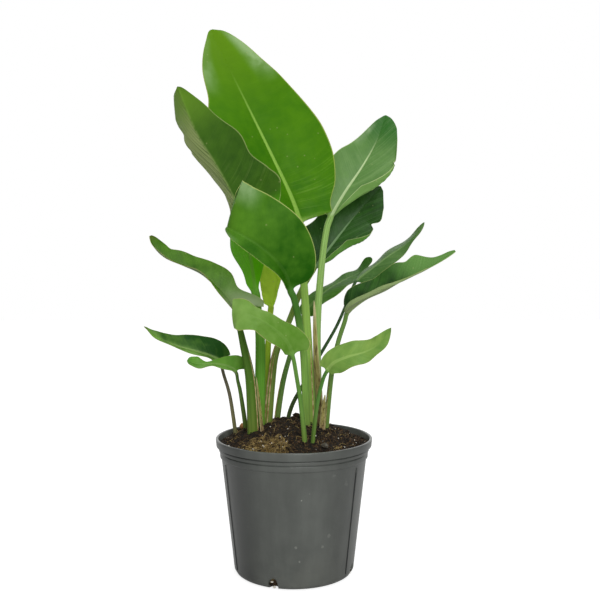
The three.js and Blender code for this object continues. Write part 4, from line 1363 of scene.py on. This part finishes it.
class LeafSettings(PropertyGroup):
    gloss: roughness_setting("Leaf roughness", "How dull the upper face of a leaf is", 0.42)
    vein_spacing: length_setting("Vein spacing", "Distance between fine side veins", 0.0024, 0.0005, 0.02)
    vein_relief: length_setting("Vein relief", "Depth of the fine side veins", 0.0006, 0.0, 0.005)


class StageSettings(PropertyGroup):
    floor_colour: colour_setting("Floor colour", "Colour of the studio floor", (0.45, 0.45, 0.45))
    key_power: power_setting("Key light", "Power of the large light in front", 25.0)
    top_power: power_setting("Top light", "Power of the light above", 12.0)


# Operators

class PLANT_OT_stage(Operator):
    """Makes the camera, the floor and the soft studio light"""

    bl_idname = "plant.stage"
    bl_label = "Stage"

    def execute(self, context):
        settings = context.scene.plant_stage
        scene = context.scene
        camera = bpy.data.cameras.new("camera")
        camera.lens = CAMERA_LENS
        camera.sensor_width = CAMERA_SENSOR
        holder = bpy.data.objects.new("camera", camera)
        holder.location = CAMERA_PLACE
        holder.rotation_euler = (math.radians(90 - CAMERA_DIP), 0, 0)
        scene.collection.objects.link(holder)
        scene.camera = holder
        scene.view_settings.view_transform = "Standard"

        bm = bmesh.new()
        bmesh.ops.create_grid(bm, x_segments=1, y_segments=1, size=6.0)
        mesh = bpy.data.meshes.new("floor")
        bm.to_mesh(mesh)
        bm.free()
        floor = bpy.data.objects.new("floor", mesh)
        scene.collection.objects.link(floor)
        material, w, shader = blank_material("studio_floor", 0.8, 0.2)
        tone = w.span(w.noise(w.place(), 3.0), 0.3, 0.7, 0.97, 1.0)
        white = (*settings.floor_colour, 1.0)
        w.feed(shader["Base Color"], w.mix(tone, (0.0, 0.0, 0.0, 1.0), white))
        seen = w.node("LightPath").outputs["Is Camera Ray"]
        shader["Emission Color"].default_value = (1.0, 1.0, 1.0, 1.0)
        w.feed(shader["Emission Strength"], w.span(seen, 0.0, 1.0, 0.1, 0.78, "LINEAR"))
        mesh.materials.append(material)

        world = bpy.data.worlds.new("studio")
        world.use_nodes = True
        scene.world = world
        w = Wiring(world.node_tree)
        nodes = world.node_tree.nodes
        seen = w.node("LightPath").outputs["Is Camera Ray"]
        _, back, up = w.parts(w.node("TexCoord").outputs["Generated"])
        front = w.span(back, -0.8, -0.1, 0.42, 0.14)
        walls = w.math("ADD", front, w.span(back, 0.55, 0.8, 0.0, 0.86))
        room = w.math("ADD", walls, w.span(up, 0.35, 0.95, 0.0, 0.5))
        nodes["Background"].inputs["Color"].default_value = (1.0, 1.0, 1.0, 1.0)
        w.feed(nodes["Background"].inputs["Strength"], w.math("MAXIMUM", room, seen))

        lights = (
            ("key", (0.5, -2.1, 1.2), (0, 0, 0.42), 1.1, settings.key_power),
            ("top", (0.2, 0.3, 2.3), (0, 0, 0.4), 1.4, settings.top_power),
        )
        for name, place, target, size, power in lights:
            light = bpy.data.lights.new(name, "AREA")
            light.shape = "SQUARE"
            light.size = size
            light.energy = power
            lamp = bpy.data.objects.new(name, light)
            lamp.location = place
            aim = Vector(target) - Vector(place)
            lamp.rotation_euler = aim.to_track_quat("-Z", "Y").to_euler()
            scene.collection.objects.link(lamp)
        return {"FINISHED"}


class PLANT_OT_pot(Operator):
    """Makes the moulded nursery pot with its rim, bands, panel edges and drain holes"""

    bl_idname = "plant.pot"
    bl_label = "Pot"

    def execute(self, context):
        settings = context.scene.plant_pot
        bm = spun(pot_profile(settings.rim_radius / MM, settings.height / MM), POT_STEPS)
        rounded_bends(bm, 18, POT_ROUNDING * MM)
        merged(bm)
        piece = new_piece("nursery_pot", bm, [pot_material(settings)], 30.0, ["pot"])
        apply_boolean(piece, cutter_object("panel_edges", panel_edges()), "UNION")
        apply_boolean(piece, cutter_object("drain_drills", drain_drills()), "DIFFERENCE")
        piece.data.shade_smooth()
        piece.data.set_sharp_from_angle(angle=math.radians(30))
        return {"FINISHED"}


class PLANT_OT_soil(Operator):
    """Makes the heap of potting mix"""

    bl_idname = "plant.soil"
    bl_label = "Potting mix"

    def execute(self, context):
        make_soil_body(context.scene.plant_soil)
        return {"FINISHED"}


class PLANT_OT_soil_bits(Operator):
    """Strews crumbs, bark, perlite, fibres, a chip and a stone over the heap and fills the drain holes"""

    bl_idname = "plant.soil_bits"
    bl_label = "Bits in the potting mix"

    def execute(self, context):
        settings = context.scene.plant_soil
        rng = random.Random(SOIL_SEED)

        bm = bmesh.new()
        places = [soil_place(rng) for _ in range(settings.crumbs)]
        add_lumps(bm, rng, places, (1.2, 3.8), 0.2)
        crest = [soil_place(rng, *CLOD_PATCH) for _ in range(CLODS)]
        add_lumps(bm, rng, crest, (3.5, 7.5), 0.0)
        add_lumps(bm, rng, LARGE_CLODS, (9, 12), -1.0)
        add_hole_lumps(bm, rng, HOLE_CRUMBS, (3, 5))
        bits_piece("soil_crumbs", bm, ("peat_crumbs", "#0f0b07", "#3a2b1c"))

        bm = bmesh.new()
        places = [soil_place(rng) for _ in range(settings.bark)]
        add_chips(bm, rng, places, (3.0, 8.5))
        bits_piece("soil_bark", bm, ("bark", "#231a10", "#5f4830"))

        bm = bmesh.new()
        places = [soil_place(rng) for _ in range(settings.perlite)]
        places += [soil_place(rng, *COIR_PATCH) for _ in range(COIR_GRAINS)]
        add_hole_lumps(bm, rng, HOLE_GRAINS, (3.2, 4.4))
        add_lumps(bm, rng, places, (0.9, 2.4), -0.3, (1, 1, 0.9))
        bits_piece("soil_perlite", bm, ("perlite", "#b9b4a4", "#eeeade"))

        bm = bmesh.new()
        places = [soil_place(rng, *COIR_PATCH) for _ in range(settings.fibres * 2 // 3)]
        places += [soil_place(rng) for _ in range(settings.fibres // 3)]
        add_fibres(bm, rng, places, (5, 15), 0.42)
        bits_piece("soil_fibres", bm, ("coir", "#5b4826", "#b89f66"), 60.0)

        for name, matter, spot, size, sink, shape, bevel in SINGLE_LUMPS:
            bm = bmesh.new()
            add_lumps(bm, rng, [spot], (size, size), sink, shape)
            bevelled(bm, list(bm.edges), bevel * MM)
            bits_piece(name, bm, matter, 30.0)
        return {"FINISHED"}


class PLANT_OT_leaves(Operator):
    """Grows every leaf with its stem, veins and dry stem edges"""

    bl_idname = "plant.leaves"
    bl_label = "Leaves"

    def execute(self, context):
        for index, leaf in enumerate(LEAVES):
            make_leaf(USUAL_LEAF | leaf, index, context.scene.plant_leaves)
        return {"FINISHED"}


class PLANT_OT_sheaths(Operator):
    """Makes the dried leaf bases at the foot of the stems"""

    bl_idname = "plant.sheaths"
    bl_label = "Dried leaf bases"

    def execute(self, context):
        for index, sheath in enumerate(DRY_SHEATHS):
            make_sheath(sheath, index)
        return {"FINISHED"}


class PLANT_PT_panel(Panel):
    """Lists the pieces and their sizes and colours"""

    bl_idname = "PLANT_PT_panel"
    bl_label = "Potted bird of paradise"
    bl_space_type = "VIEW_3D"
    bl_region_type = "UI"
    bl_category = "Plant"

    def draw(self, context):
        layout = self.layout
        scene = context.scene
        sections = (
            (scene.plant_pot, (PLANT_OT_pot,)),
            (scene.plant_soil, (PLANT_OT_soil, PLANT_OT_soil_bits)),
            (scene.plant_leaves, (PLANT_OT_leaves, PLANT_OT_sheaths)),
            (scene.plant_stage, (PLANT_OT_stage,)),
        )
        for settings, operators in sections:
            box = layout.box()
            for name in settings.__annotations__:
                box.prop(settings, name)
            for operator in operators:
                box.operator(operator.bl_idname)


SETTINGS = {
    "plant_pot": PotSettings,
    "plant_soil": SoilSettings,
    "plant_leaves": LeafSettings,
    "plant_stage": StageSettings,
}
OPERATORS = (
    PLANT_OT_stage,
    PLANT_OT_pot,
    PLANT_OT_soil,
    PLANT_OT_soil_bits,
    PLANT_OT_leaves,
    PLANT_OT_sheaths,
)


def register():
    for kind in (*SETTINGS.values(), *OPERATORS, PLANT_PT_panel):
        bpy.utils.register_class(kind)
    for name, kind in SETTINGS.items():
        setattr(bpy.types.Scene, name, PointerProperty(type=kind))


def unregister():
    for name in SETTINGS:
        delattr(bpy.types.Scene, name)
    for kind in (PLANT_PT_panel, *reversed(OPERATORS), *reversed(SETTINGS.values())):
        bpy.utils.unregister_class(kind)


def main():
    register()
    bpy.ops.plant.stage()
    bpy.ops.plant.pot()
    bpy.ops.plant.soil()
    bpy.ops.plant.soil_bits()
    bpy.ops.plant.leaves()
    bpy.ops.plant.sheaths()


if __name__ == "__main__":
    main()
